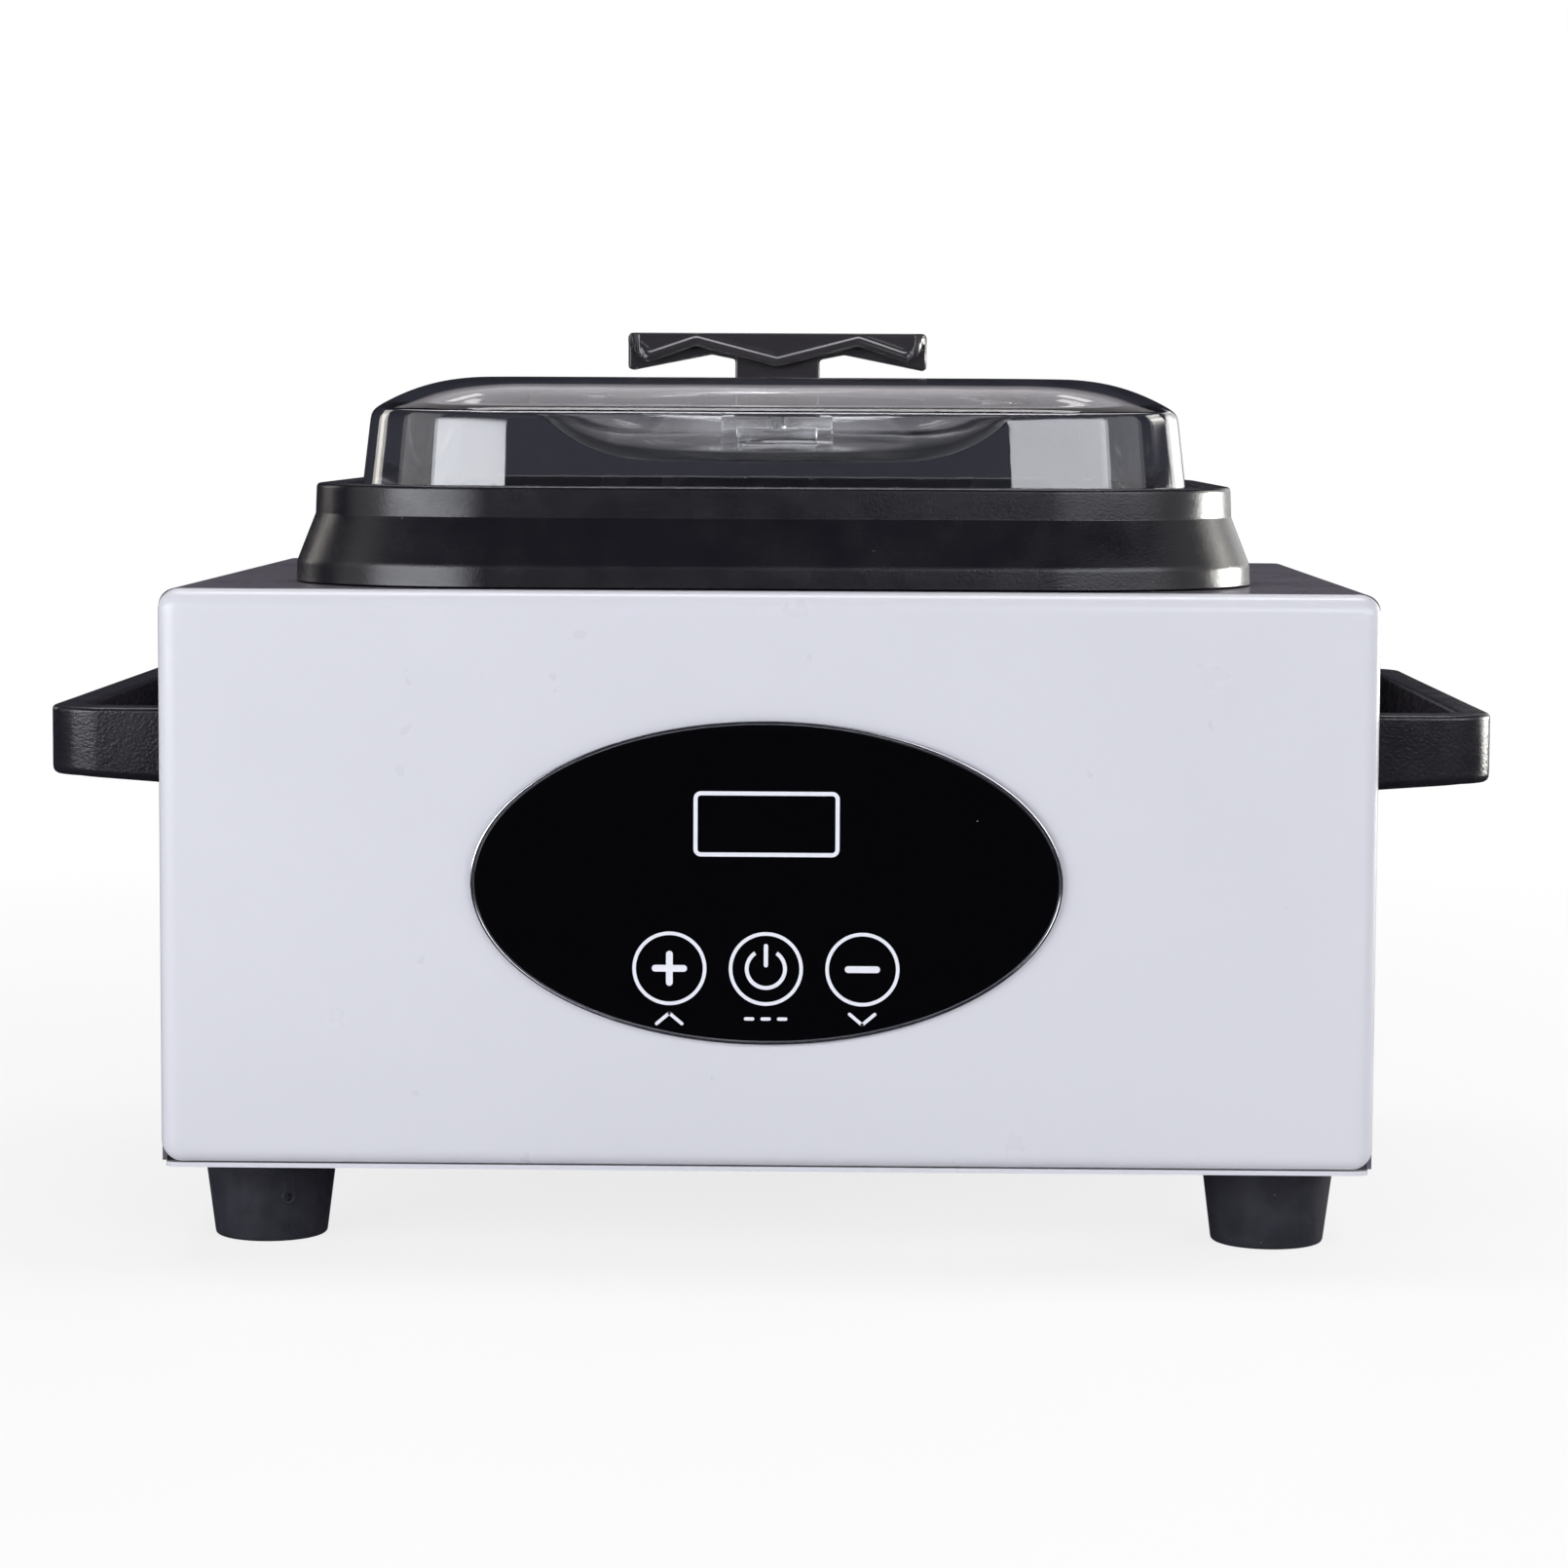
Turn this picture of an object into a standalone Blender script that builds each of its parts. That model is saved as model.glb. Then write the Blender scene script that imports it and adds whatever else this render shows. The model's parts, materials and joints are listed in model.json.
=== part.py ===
"""Paraffin wax bath: a heated tank in a sheet-metal case, with a lift-off clear lid.

Metres, +Z up, the front faces -Y. The origin is under the middle of the feet.
Each piece of the real object is one mesh object in the collection "paraffin_wax_bath".
"""

import math

import bmesh
import bpy
from mathutils import Matrix, Vector

# Case
CASE_WIDTH = 0.310
CASE_DEPTH = 0.240
CASE_BOTTOM = 0.0255
CASE_TOP = 0.1725
SHEET = 0.0012
GAP = 0.0003
PANEL_BEND = 0.0045
PANEL_CORNER = 0.0055
PANEL_FLANGE = 0.0085
BASE_Z = 0.0240
BASE_SETBACK = 0.0035

# Sizes of the openings that are cut and of the stock that is folded
COVER_BEND = 0.0045
HANDLE_HOLE = 0.0024
SCREW_HOLE = 0.0020
VENT_WIDTH = 0.0045
VENT_PITCH = 0.0110

# Collar and tank, as distances inward from the collar's outer foot
COLLAR_HALF_X = 0.127
COLLAR_HALF_Y = 0.1115
COLLAR_CORNER = 0.055
COLLAR_TOP = 0.1986
LEDGE_Z = 0.1895
RECESS_INSET = 0.0142
LEDGE_INSET = 0.0220
TANK_INSET = 0.0226
TANK_TAPER = 0.0054
TANK_FLOOR = 0.0750
TANK_WALL = 0.0015
FLANGE_Z = 0.1911
FLANGE_INSET = 0.0147
TANK_FLOOR_BEND = 0.0100
STUD_RADIUS = 0.0025
STUD_LENGTH = 0.0125

# Heater under the tank's floor, held by a clamp plate and a nut on the stud
HEATER_HALF = (0.0760, 0.0580)
HEATER_THICKNESS = 0.0020
HEATER_TOP = TANK_FLOOR - GAP
CLAMP_HALF = (0.0660, 0.0480)
CLAMP_THICKNESS = 0.0015
CLAMP_TOP = HEATER_TOP - HEATER_THICKNESS - GAP
CLAMP_BOTTOM = CLAMP_TOP - CLAMP_THICKNESS
STUD_HOLE = 0.0032
SENSOR_X = 0.0400
PROBE_RADIUS = 0.0025

# Lid
LID_WALL = 0.0024
LID_BASE_Z = 0.1929
LID_KNEE_Z = 0.2178
LID_TOP = 0.2269
LID_INSET = 0.0160
LID_CORNER = 0.0630
LID_DRAFT = 0.0030
LID_SHOULDER = 0.0330
SHOULDER_CURVE = 2.4
DISH_HALF_WIDTH = 0.0715
DISH_FLOOR_HALF_WIDTH = 0.0360
DISH_SHAPE = 0.80
DISH_FLOOR_Z = 0.2040

# Knob
KNOB_TOP = 0.2396
KNOB_HALF_WIDTH = 0.0415
KNOB_DEPTH = 0.0220
STEM_HALF_WIDTH = 0.0116
STEM_HALF_DEPTH = 0.0065
STEM_FOOT_Z = 0.2169
KNOB_SCREW_HOLE = 0.0024
PEDESTAL_SIZE = (0.0310, 0.0190)
PEDESTAL_HOLLOW = (0.0224, 0.0140)
PEDESTAL_HOLLOW_TOP = 0.2118
LUG_SIZE = (0.0032, 0.0130, 0.0060)

# Control panel
PANEL_Z = 0.0987
PANEL_HALF_WIDTH = 0.0752
PANEL_HALF_HEIGHT = 0.0413
TRIM_WIDTH = 0.0007
PROUD = 0.0016
DISPLAY_Z = 0.1138
KEY_Z = 0.0769
KEY_PITCH = 0.0245
BOARD_Y = -0.1108
BOARD_THICKNESS = 0.0016
BOSS_X = 0.0460
BOSS_Z = (0.0700, 0.1250)
BOARD_HALF_WIDTH = 0.0520
BOARD_LOW = 0.0640
BOARD_HIGH = 0.1310
DISPLAY_SIZE = (0.0376, 0.0190)
BUZZER_PLACE = (0.0260, 0.1050)

# Handles
HANDLE_REACH = 0.1865
HANDLE_HALF_LENGTH = 0.1050
HANDLE_TOP = 0.1412
HANDLE_BAR_HEIGHT = 0.0178
HANDLE_ROOT_HEIGHT = 0.0194
HANDLE_BAR = 0.0080
HANDLE_ARM = 0.0110
HANDLE_CORNER = 0.0140
HANDLE_INNER_CORNER = 0.0080
HANDLE_EDGE = 0.0016
HANDLE_SCREW_Z = 0.1316

# Feet
FOOT_X = 0.1320
FOOT_Y = 0.0780
FOOT_TOP_RADIUS = 0.0176
FOOT_BOTTOM_RADIUS = 0.0147

# Power inlet on the rear panel, and the power board on the base
INLET_X = 0.0900
INLET_Z = 0.0600
INLET_HALF = (0.0135, 0.0100)
INLET_SCREW_X = 0.0200
BOARD_CENTRE = (0.0780, 0.0480)
POWER_BOARD_Z = 0.0312
POWER_DECK = POWER_BOARD_Z + 0.0016 + GAP
EARTH_PLACE = (0.1360, 0.0300)
REAR_SCREW_X = 0.1380
REAR_SCREW_Z = (0.0400, 0.1570)

CORNER_STEPS = 8
SIDE_STEPS = 2
SHOULDER_STEPS = 4
DISH_STEPS = 4

CASE_CENTRE_Z = (CASE_BOTTOM + CASE_TOP) / 2
FRONT_Y = -CASE_DEPTH / 2
REAR_Y = CASE_DEPTH / 2


# ---------------------------------------------------------------- scene and materials

def clear_scene():
    for item in list(bpy.data.objects):
        bpy.data.objects.remove(item, do_unlink=True)
    for mesh in list(bpy.data.meshes):
        bpy.data.meshes.remove(mesh)


def new_collection(name):
    collection = bpy.data.collections.new(name)
    bpy.context.scene.collection.children.link(collection)
    return collection


def new_material(name, colour, roughness, metallic=0.0, transmission=0.0):
    material = bpy.data.materials.new(name)
    material.use_nodes = True
    shader = material.node_tree.nodes["Principled BSDF"]
    shader.inputs["Base Color"].default_value = (*colour, 1.0)
    shader.inputs["Roughness"].default_value = roughness
    shader.inputs["Metallic"].default_value = metallic
    shader.inputs["Transmission Weight"].default_value = transmission
    material.diffuse_color = (*colour, 1.0)
    return material


# colour, roughness, metallic, transmission
FINISHES = {
    "white_paint": ((0.74, 0.74, 0.80), 0.22, 0.0, 0.0),
    "black_paint": ((0.035, 0.034, 0.042), 0.25, 0.0, 0.0),
    "bare_steel": ((0.55, 0.56, 0.58), 0.35, 1.0, 0.0),
    "black_plastic": ((0.022, 0.021, 0.025), 0.45, 0.0, 0.0),
    "gloss_black": ((0.010, 0.010, 0.012), 0.08, 0.0, 0.0),
    "clear_plastic": ((0.92, 0.94, 0.96), 0.04, 0.0, 0.9),
    "tank_aluminium": ((0.56, 0.565, 0.58), 0.35, 1.0, 0.0),
    "silicone": ((0.60, 0.20, 0.12), 0.60, 0.0, 0.0),
    "felt": ((0.62, 0.60, 0.54), 0.95, 0.0, 0.0),
    "mica": ((0.55, 0.48, 0.36), 0.50, 0.0, 0.0),
    "trim_silver": ((0.70, 0.70, 0.72), 0.20, 1.0, 0.0),
    "circuit_green": ((0.02, 0.16, 0.07), 0.40, 0.0, 0.0),
    "module_black": ((0.030, 0.030, 0.032), 0.55, 0.0, 0.0),
    "relay_blue": ((0.03, 0.10, 0.35), 0.40, 0.0, 0.0),
    "terminal_green": ((0.05, 0.35, 0.15), 0.50, 0.0, 0.0),
    "screw_steel": ((0.60, 0.60, 0.60), 0.30, 1.0, 0.0),
    "foot_rubber": ((0.045, 0.045, 0.052), 0.75, 0.0, 0.0),
    "lead_red": ((0.45, 0.03, 0.03), 0.50, 0.0, 0.0),
    "lead_white": ((0.75, 0.75, 0.72), 0.50, 0.0, 0.0),
    "brass": ((0.70, 0.52, 0.22), 0.30, 1.0, 0.0),
}


class Build:
    """The two collections, and one material made for each piece."""

    def __init__(self):
        self.parts = new_collection("paraffin_wax_bath")
        self.cutters = new_collection("cutters")

    def piece(self, name, bm, finish):
        item = self.link(name, bm, self.parts)
        item.data.materials.append(new_material(name, *FINISHES[finish]))
        return item

    def cutter(self, name, bm):
        item = self.link(name, bm, self.cutters)
        item.hide_render = True
        item.display_type = "WIRE"
        return item

    def link(self, name, bm, collection):
        mesh = bpy.data.meshes.new(name)
        bm.to_mesh(mesh)
        bm.free()
        mesh.shade_smooth()
        mesh.set_sharp_from_angle(angle=math.radians(32))
        item = bpy.data.objects.new(name, mesh)
        collection.objects.link(item)
        return item


def boolean(target, tool, operation):
    step = target.modifiers.new(f"{operation.lower()}_{tool.name}", "BOOLEAN")
    step.operation = operation
    step.object = tool
    step.solver = "EXACT"


# ---------------------------------------------------------------- shapes

def rounded_ring(half_x, half_y, radius, z, steps=CORNER_STEPS):
    """Points of a rounded rectangle at height z, anticlockwise from +X."""
    points = []
    corners = ((1, 1, 0), (-1, 1, 90), (-1, -1, 180), (1, -1, 270))
    for sx, sy, start in corners:
        cx, cy = sx * (half_x - radius), sy * (half_y - radius)
        arc = []
        for step in range(steps + 1):
            angle = math.radians(start + 90 * step / steps)
            arc.append(Vector((cx + radius * math.cos(angle), cy + radius * math.sin(angle), z)))
        if points:
            add_side(points, arc[0])
        points.extend(arc)
    add_side(points, points[0])
    return points


def add_side(points, end):
    """Points that divide the straight side from the last point to end."""
    start = points[-1].copy()
    for step in range(1, SIDE_STEPS + 1):
        points.append(start.lerp(end, step / (SIDE_STEPS + 1)))


def round_ring(half_x, half_y, z, count):
    turn = 2 * math.pi / count
    return [
        Vector((half_x * math.cos(i * turn), half_y * math.sin(i * turn), z)) for i in range(count)
    ]


def loft(rings, closed=False):
    """A closed body through rings of equal length: capped at both ends, or joined end to end."""
    bm = bmesh.new()
    rows = [[bm.verts.new(point) for point in ring] for ring in rings]
    count = len(rows[0])
    spans = list(zip(rows, rows[1:]))
    if closed:
        spans.append((rows[-1], rows[0]))
    for low, high in spans:
        for i in range(count):
            j = (i + 1) % count
            bm.faces.new((low[i], low[j], high[j], high[i]))
    if not closed:
        bm.faces.new(list(reversed(rows[0])))
        bm.faces.new(rows[-1])
    bmesh.ops.recalc_face_normals(bm, faces=bm.faces)
    return bm


def collar_ring(inset, z, corner=COLLAR_CORNER):
    """The collar's rounded rectangle, drawn in by inset, at height z."""
    return rounded_ring(COLLAR_HALF_X - inset, COLLAR_HALF_Y - inset, max(corner - inset, 0.008), z)


def inset_frame(profile):
    """A closed profile of (inset, z) carried round the collar's rounded rectangle."""
    return loft([collar_ring(inset, z) for inset, z in profile], closed=True)


def box(size, centre, bevel=0.0):
    bm = bmesh.new()
    bmesh.ops.create_cube(bm, size=1.0)
    bmesh.ops.scale(bm, vec=Vector(size), verts=bm.verts)
    bmesh.ops.translate(bm, vec=Vector(centre), verts=bm.verts)
    if bevel:
        bmesh.ops.bevel(bm, geom=bm.edges, offset=bevel, segments=1, affect="EDGES")
    return bm


def cylinder(radius, depth, centre, axis="Z", sides=16):
    turns = {
        "X": Matrix.Rotation(math.pi / 2, 4, "Y"),
        "Y": Matrix.Rotation(math.pi / 2, 4, "X"),
        "Z": Matrix(),
    }
    bm = bmesh.new()
    bmesh.ops.create_cone(
        bm, cap_ends=True, segments=sides, radius1=radius, radius2=radius, depth=depth,
        matrix=Matrix.Translation(centre) @ turns[axis],
    )
    return bm


def gather(shapes):
    """Several closed shapes in one mesh, for a cutter that cuts them all at once."""
    whole = bmesh.new()
    for shape in shapes:
        mesh = bpy.data.meshes.new("shape")
        shape.to_mesh(mesh)
        shape.free()
        whole.from_mesh(mesh)
        bpy.data.meshes.remove(mesh)
    return whole


def turned(build, name, profile, finish, sides=16, place=(0, 0, 0), turn=(0, 0, 0)):
    """A turned piece: a profile of (radius, height), top to bottom down its outer side."""
    bm = bmesh.new()
    verts = [bm.verts.new((radius, 0, height)) for radius, height in profile]
    for start, end in zip(verts, verts[1:]):
        bm.edges.new((start, end))
    if profile[0][0] > 0:
        bm.edges.new((verts[-1], verts[0]))
    item = build.piece(name, bm, finish)
    item.location = place
    item.rotation_euler = turn
    screw = item.modifiers.new("turn", "SCREW")
    screw.axis = "Z"
    screw.steps = screw.render_steps = sides
    screw.use_merge_vertices = True
    screw.merge_threshold = 0.00001
    screw.use_smooth_shade = True
    return item


def pan_screw(build, name, head_radius, head_height, shank_radius, shank_length, place, turn, sides=8):
    """A pan-head screw along local Z: the head's underside at z = 0, the shank below it."""
    profile = [
        (0, head_height), (head_radius * 0.7, head_height), (head_radius, head_height * 0.5),
        (head_radius, 0), (shank_radius, 0), (shank_radius, -shank_length), (0, -shank_length),
    ]
    return turned(build, name, profile, "screw_steel", sides=sides, place=place, turn=turn)


def tube(build, name, route, radius, finish, points_each=3):
    """A lead: a smooth curve through the route's points, as a polyline with a round section."""
    curve = bpy.data.curves.new(name, "CURVE")
    curve.dimensions = "3D"
    curve.bevel_depth = radius
    curve.bevel_resolution = 1
    curve.use_fill_caps = True
    points = smooth_route([Vector(p) for p in route], points_each)
    spline = curve.splines.new("POLY")
    spline.points.add(len(points) - 1)
    for slot, point in zip(spline.points, points):
        slot.co = (*point, 1.0)
    item = bpy.data.objects.new(name, curve)
    build.parts.objects.link(item)
    curve.materials.append(new_material(name, *FINISHES[finish]))
    return item


def smooth_route(route, points_each):
    """Catmull-Rom points through the route."""
    ends = [route[0] * 2 - route[1], *route, route[-1] * 2 - route[-2]]
    points = []
    for a, b, c, d in zip(ends, ends[1:], ends[2:], ends[3:]):
        for step in range(points_each):
            t = step / points_each
            points.append(
                0.5 * (2 * b + (c - a) * t + (2 * a - 5 * b + 4 * c - d) * t**2
                       + (3 * b - a - 3 * c + d) * t**3)
            )
    points.append(route[-1])
    return points


# ---------------------------------------------------------------- case

def pan(half_x, half_z):
    """A folded pan facing local +Z, its face at z = 0, its flange stepped in under the cover."""
    rings = []
    for step in range(4):
        angle = math.radians(90 * step / 3)
        inset = PANEL_BEND * (1 - math.sin(angle))
        depth = PANEL_BEND * (1 - math.cos(angle))
        rings.append(rounded_ring(half_x - inset, half_z - inset, PANEL_CORNER - inset, -depth, 3))
    step_in = SHEET + GAP
    edge = PANEL_BEND + 0.0005
    rim = edge + PANEL_FLANGE
    rings.append(rounded_ring(half_x, half_z, PANEL_CORNER, -edge, 3))
    for inset, depth in (
        (step_in, edge), (step_in, rim), (step_in + SHEET, rim),
        (step_in + SHEET, PANEL_BEND), (step_in + SHEET + 0.0013, SHEET),
    ):
        rings.append(rounded_ring(half_x - inset, half_z - inset, PANEL_CORNER - inset, -depth, 3))
    return loft(rings)


def case_cover(build):
    """Top plate and both side walls, folded from one sheet, between the two panels' rims."""
    half = CASE_WIDTH / 2
    front = FRONT_Y + PANEL_BEND + 0.0005 + GAP
    outer, inner = [(-half, CASE_BOTTOM)], [(-half + SHEET, CASE_BOTTOM)]
    for side in (-1, 1):
        for step in range(6):
            start = 180 if side < 0 else 90
            angle = math.radians(start - 90 * step / 5)
            cx, cz = side * (half - COVER_BEND), CASE_TOP - COVER_BEND
            for skin, bend in ((outer, COVER_BEND), (inner, COVER_BEND - SHEET)):
                skin.append((cx + bend * math.cos(angle), cz + bend * math.sin(angle)))
    outer.append((half, CASE_BOTTOM))
    inner.append((half - SHEET, CASE_BOTTOM))
    rings = []
    for (ox, oz), (ix, iz) in zip(outer, inner):
        corners = ((ox, front, oz), (ox, -front, oz), (ix, -front, iz), (ix, front, iz))
        rings.append([Vector(corner) for corner in corners])
    cover = build.piece("case_cover", loft(rings), "black_paint")
    hole = [collar_ring(0.013, z) for z in (CASE_TOP - 0.004, CASE_TOP + 0.004)]
    boolean(cover, build.cutter("cut_tank_opening", loft(hole)), "DIFFERENCE")
    drills = [
        cylinder(HANDLE_HOLE, 0.012, (side * half, y, HANDLE_SCREW_Z), "X", 12)
        for side in (-1, 1) for y in (-handle_screw_y(), handle_screw_y())
    ]
    boolean(cover, build.cutter("cut_handle_screws", gather(drills)), "DIFFERENCE")


def front_panel(build):
    """White pan with an opening behind the control panel and four bosses for its board."""
    bm = pan(CASE_WIDTH / 2, (CASE_TOP - CASE_BOTTOM) / 2)
    panel = build.piece("front_panel", bm, "white_paint")
    panel.location = (0, FRONT_Y, CASE_CENTRE_Z)
    panel.rotation_euler = (math.pi / 2, 0, 0)
    low, high = KEY_Z - 0.0075, DISPLAY_Z + 0.0120
    opening = [rounded_ring(0.0330, (high - low) / 2, 0.004, z, 3) for z in (-0.006, 0.006)]
    cutter = build.cutter("cut_control_opening", loft(opening))
    cutter.location = (0, FRONT_Y, (low + high) / 2)
    cutter.rotation_euler = (math.pi / 2, 0, 0)
    boolean(panel, cutter, "DIFFERENCE")
    front = FRONT_Y + SHEET / 2
    back = BOARD_Y - BOARD_THICKNESS / 2 - GAP
    places = [(x, z) for x in (-BOSS_X, BOSS_X) for z in BOSS_Z]
    bosses = [cylinder(0.0030, back - front, (x, (front + back) / 2, z), "Y", 12) for x, z in places]
    boolean(panel, build.cutter("add_board_bosses", gather(bosses)), "UNION")
    holes = [cylinder(0.0016, 0.016, (x, BOARD_Y + 0.0026, z), "Y", 10) for x, z in places]
    boolean(panel, build.cutter("cut_board_holes", gather(holes)), "DIFFERENCE")


def rear_panel(build):
    """Rear pan with the inlet's cut-out, vent slots and its four screw holes."""
    bm = pan(CASE_WIDTH / 2, (CASE_TOP - CASE_BOTTOM) / 2)
    panel = build.piece("rear_panel", bm, "black_paint")
    panel.location = (0, REAR_Y, CASE_CENTRE_Z)
    panel.rotation_euler = (math.pi / 2, 0, math.pi)
    play = 0.0008
    inlet = (INLET_HALF[0] * 2 + play, 0.012, INLET_HALF[1] * 2 + play)
    cuts = [box(inlet, (INLET_X, REAR_Y, INLET_Z))]
    for first, z, length in ((-0.100, 0.060, 0.0260), (-0.0275, 0.135, 0.0180)):
        cuts += [slot((first + VENT_PITCH * i, REAR_Y, z), VENT_WIDTH, length, "Y") for i in range(6)]
    screws = [(INLET_X + side * INLET_SCREW_X, INLET_Z) for side in (-1, 1)] + rear_screw_places()
    cuts += [cylinder(SCREW_HOLE, 0.012, (x, REAR_Y, z), "Y", 10) for x, z in screws]
    boolean(panel, build.cutter("cut_rear_openings", gather(cuts)), "DIFFERENCE")


def rear_screw_places():
    return [(x, z) for x in (-REAR_SCREW_X, REAR_SCREW_X) for z in REAR_SCREW_Z]


def slot(centre, width, length, axis):
    """A slot with round ends, long along Z for axis Y and along Y for axis Z."""
    steps = 3
    ring = []
    for end, start in ((1, 0), (-1, 180)):
        for step in range(steps + 1):
            angle = math.radians(start + 180 * step / steps)
            across = width / 2 * math.cos(angle)
            along = end * (length - width) / 2 + width / 2 * math.sin(angle)
            ring.append((across, along))
    rings = []
    for depth in (-0.006, 0.006):
        if axis == "Y":
            offsets = [Vector((across, depth, along)) for across, along in ring]
        else:
            offsets = [Vector((across, along, depth)) for across, along in ring]
        rings.append([Vector(centre) + offset for offset in offsets])
    return loft(rings)


def base_plate(build):
    """Flat base with upturned sides, posts for the power board, vent slots and foot holes."""
    half_x, half_y = CASE_WIDTH / 2 - 0.0008, CASE_DEPTH / 2 - BASE_SETBACK
    rings = [rounded_ring(half_x, half_y, 0.003, z, 3) for z in (BASE_Z, BASE_Z + SHEET)]
    base = build.piece("base_plate", loft(rings), "white_paint")
    lip_x = CASE_WIDTH / 2 - SHEET - GAP - SHEET / 2
    lip_length = 2 * (CASE_DEPTH / 2 - PANEL_BEND - 0.0005 - PANEL_FLANGE - 0.001)
    lips = [
        box((SHEET, lip_length, 0.010), (side * lip_x, 0, BASE_Z + 0.0004 + 0.005)) for side in (-1, 1)
    ]
    post_low, post_high = BASE_Z + 0.0004, POWER_BOARD_Z - GAP
    posts = [
        cylinder(0.0030, post_high - post_low, (x, y, (post_low + post_high) / 2), "Z", 12)
        for x, y in post_places()
    ]
    boolean(base, build.cutter("add_base_lips", gather(lips + posts)), "UNION")
    places = foot_places() + [EARTH_PLACE]
    cuts = [cylinder(HANDLE_HOLE, 0.012, (x, y, BASE_Z), "Z", 12) for x, y in places]
    cuts += [
        slot((-0.0385 + VENT_PITCH * i, -0.060, BASE_Z), VENT_WIDTH, 0.0300, "Z") for i in range(8)
    ]
    boolean(base, build.cutter("cut_base_openings", gather(cuts)), "DIFFERENCE")


def post_places():
    x, y = BOARD_CENTRE
    return [(x + sx * 0.036, y + sy * 0.024) for sx in (-1, 1) for sy in (-1, 1)]


def foot_places():
    return [(sx * FOOT_X, sy * FOOT_Y) for sy in (-1, 1) for sx in (-1, 1)]


# ---------------------------------------------------------------- collar, tank and heater

def collar(build):
    """Moulded rim: a C-shaped section with a flared outside and a ledge for the tank's flange."""
    foot = CASE_TOP + GAP
    profile = [
        (0.0, foot), (0.0003, 0.1782), (0.0052, 0.1906), (0.0055, COLLAR_TOP - 0.0009),
        (0.0062, COLLAR_TOP - 0.0001), (0.0070, COLLAR_TOP), (RECESS_INSET - 0.0008, COLLAR_TOP),
        (RECESS_INSET, COLLAR_TOP - 0.0008), (RECESS_INSET, LEDGE_Z), (LEDGE_INSET, LEDGE_Z),
        (LEDGE_INSET, LEDGE_Z - 0.0030), (0.0083, LEDGE_Z - 0.0030), (0.0035, 0.1780),
        (0.0033, foot + 0.0030), (0.0120, foot + 0.0030), (0.0120, foot),
    ]
    build.piece("collar", inset_frame(profile), "black_plastic")


def tank_gasket(build):
    low, high = LEDGE_Z + GAP, FLANGE_Z - GAP
    inner, outer = LEDGE_INSET - 0.0002, RECESS_INSET + 0.0012
    profile = [(outer, low), (outer, high), (inner, high), (inner, low)]
    build.piece("tank_gasket", inset_frame(profile), "silicone")


def wax_tank(build):
    """Drawn tank: flange, tapered walls, a rounded floor and a clamp stud under it."""
    floor_inset = TANK_INSET + TANK_TAPER
    inside, outside = [], []
    for skin, wall in ((outside, 0.0), (inside, TANK_WALL)):
        for step in range(4):
            angle = math.radians(90 * step / 3)
            run = (TANK_FLOOR_BEND - wall) * (1 - math.sin(angle))
            rise = (TANK_FLOOR_BEND - wall) * (1 - math.cos(angle))
            skin.append(collar_ring(floor_inset + wall + run, TANK_FLOOR + wall + rise))
    lip = TANK_INSET + TANK_WALL
    flange_top = FLANGE_Z + TANK_WALL
    rim = ((lip + 0.0003, FLANGE_Z - 0.0010), (lip - 0.0014, flange_top), (FLANGE_INSET, flange_top))
    for inset, z in rim:
        inside.append(collar_ring(inset, z))
    for inset in (TANK_INSET, FLANGE_INSET):
        outside.append(collar_ring(inset, FLANGE_Z))
    tank = build.piece("wax_tank", loft(inside + outside[::-1]), "tank_aluminium")
    stud_top = TANK_FLOOR + TANK_WALL / 2
    stud = cylinder(STUD_RADIUS, STUD_LENGTH, (0, 0, stud_top - STUD_LENGTH / 2), "Z", 12)
    boolean(tank, build.cutter("add_clamp_stud", stud), "UNION")


def insulation_jacket(build):
    """Felt band round the tank's walls."""
    low, high = TANK_FLOOR + 0.012, CASE_TOP - 0.004
    span = FLANGE_Z - TANK_FLOOR
    profile = []
    for z, out in ((low, 0.0006), (low, 0.0066), (high, 0.0066), (high, 0.0006)):
        wall = TANK_INSET + TANK_TAPER * (FLANGE_Z - z) / span
        profile.append((wall - out, z))
    build.piece("insulation_jacket", inset_frame(profile), "felt")


def heater_plate(build):
    levels = (HEATER_TOP - HEATER_THICKNESS, HEATER_TOP)
    rings = [rounded_ring(*HEATER_HALF, 0.014, z, 4) for z in levels]
    plate = build.piece("heater_plate", loft(rings), "mica")
    hole = cylinder(STUD_HOLE, 0.02, (0, 0, HEATER_TOP), "Z", 12)
    boolean(plate, build.cutter("cut_heater_hole", hole), "DIFFERENCE")


def heater_clamp(build):
    """Pressed plate with two stiffening ribs."""
    rings = [rounded_ring(*CLAMP_HALF, 0.010, z, 4) for z in (CLAMP_BOTTOM, CLAMP_TOP)]
    clamp = build.piece("heater_clamp", loft(rings), "bare_steel")
    ribs = [box((0.100, 0.006, 0.003), (0, y, CLAMP_BOTTOM - 0.0011), 0.0008) for y in (-0.026, 0.026)]
    boolean(clamp, build.cutter("add_clamp_ribs", gather(ribs)), "UNION")
    hole = cylinder(STUD_HOLE, 0.02, (0, 0, CLAMP_TOP), "Z", 12)
    boolean(clamp, build.cutter("cut_clamp_hole", hole), "DIFFERENCE")


def clamp_nut(build):
    top = CLAMP_BOTTOM - GAP
    profile = [(0.0033, top), (0.0052, top), (0.0052, top - 0.0040), (0.0033, top - 0.0040)]
    turned(build, "clamp_nut", profile, "screw_steel", sides=6)


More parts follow.
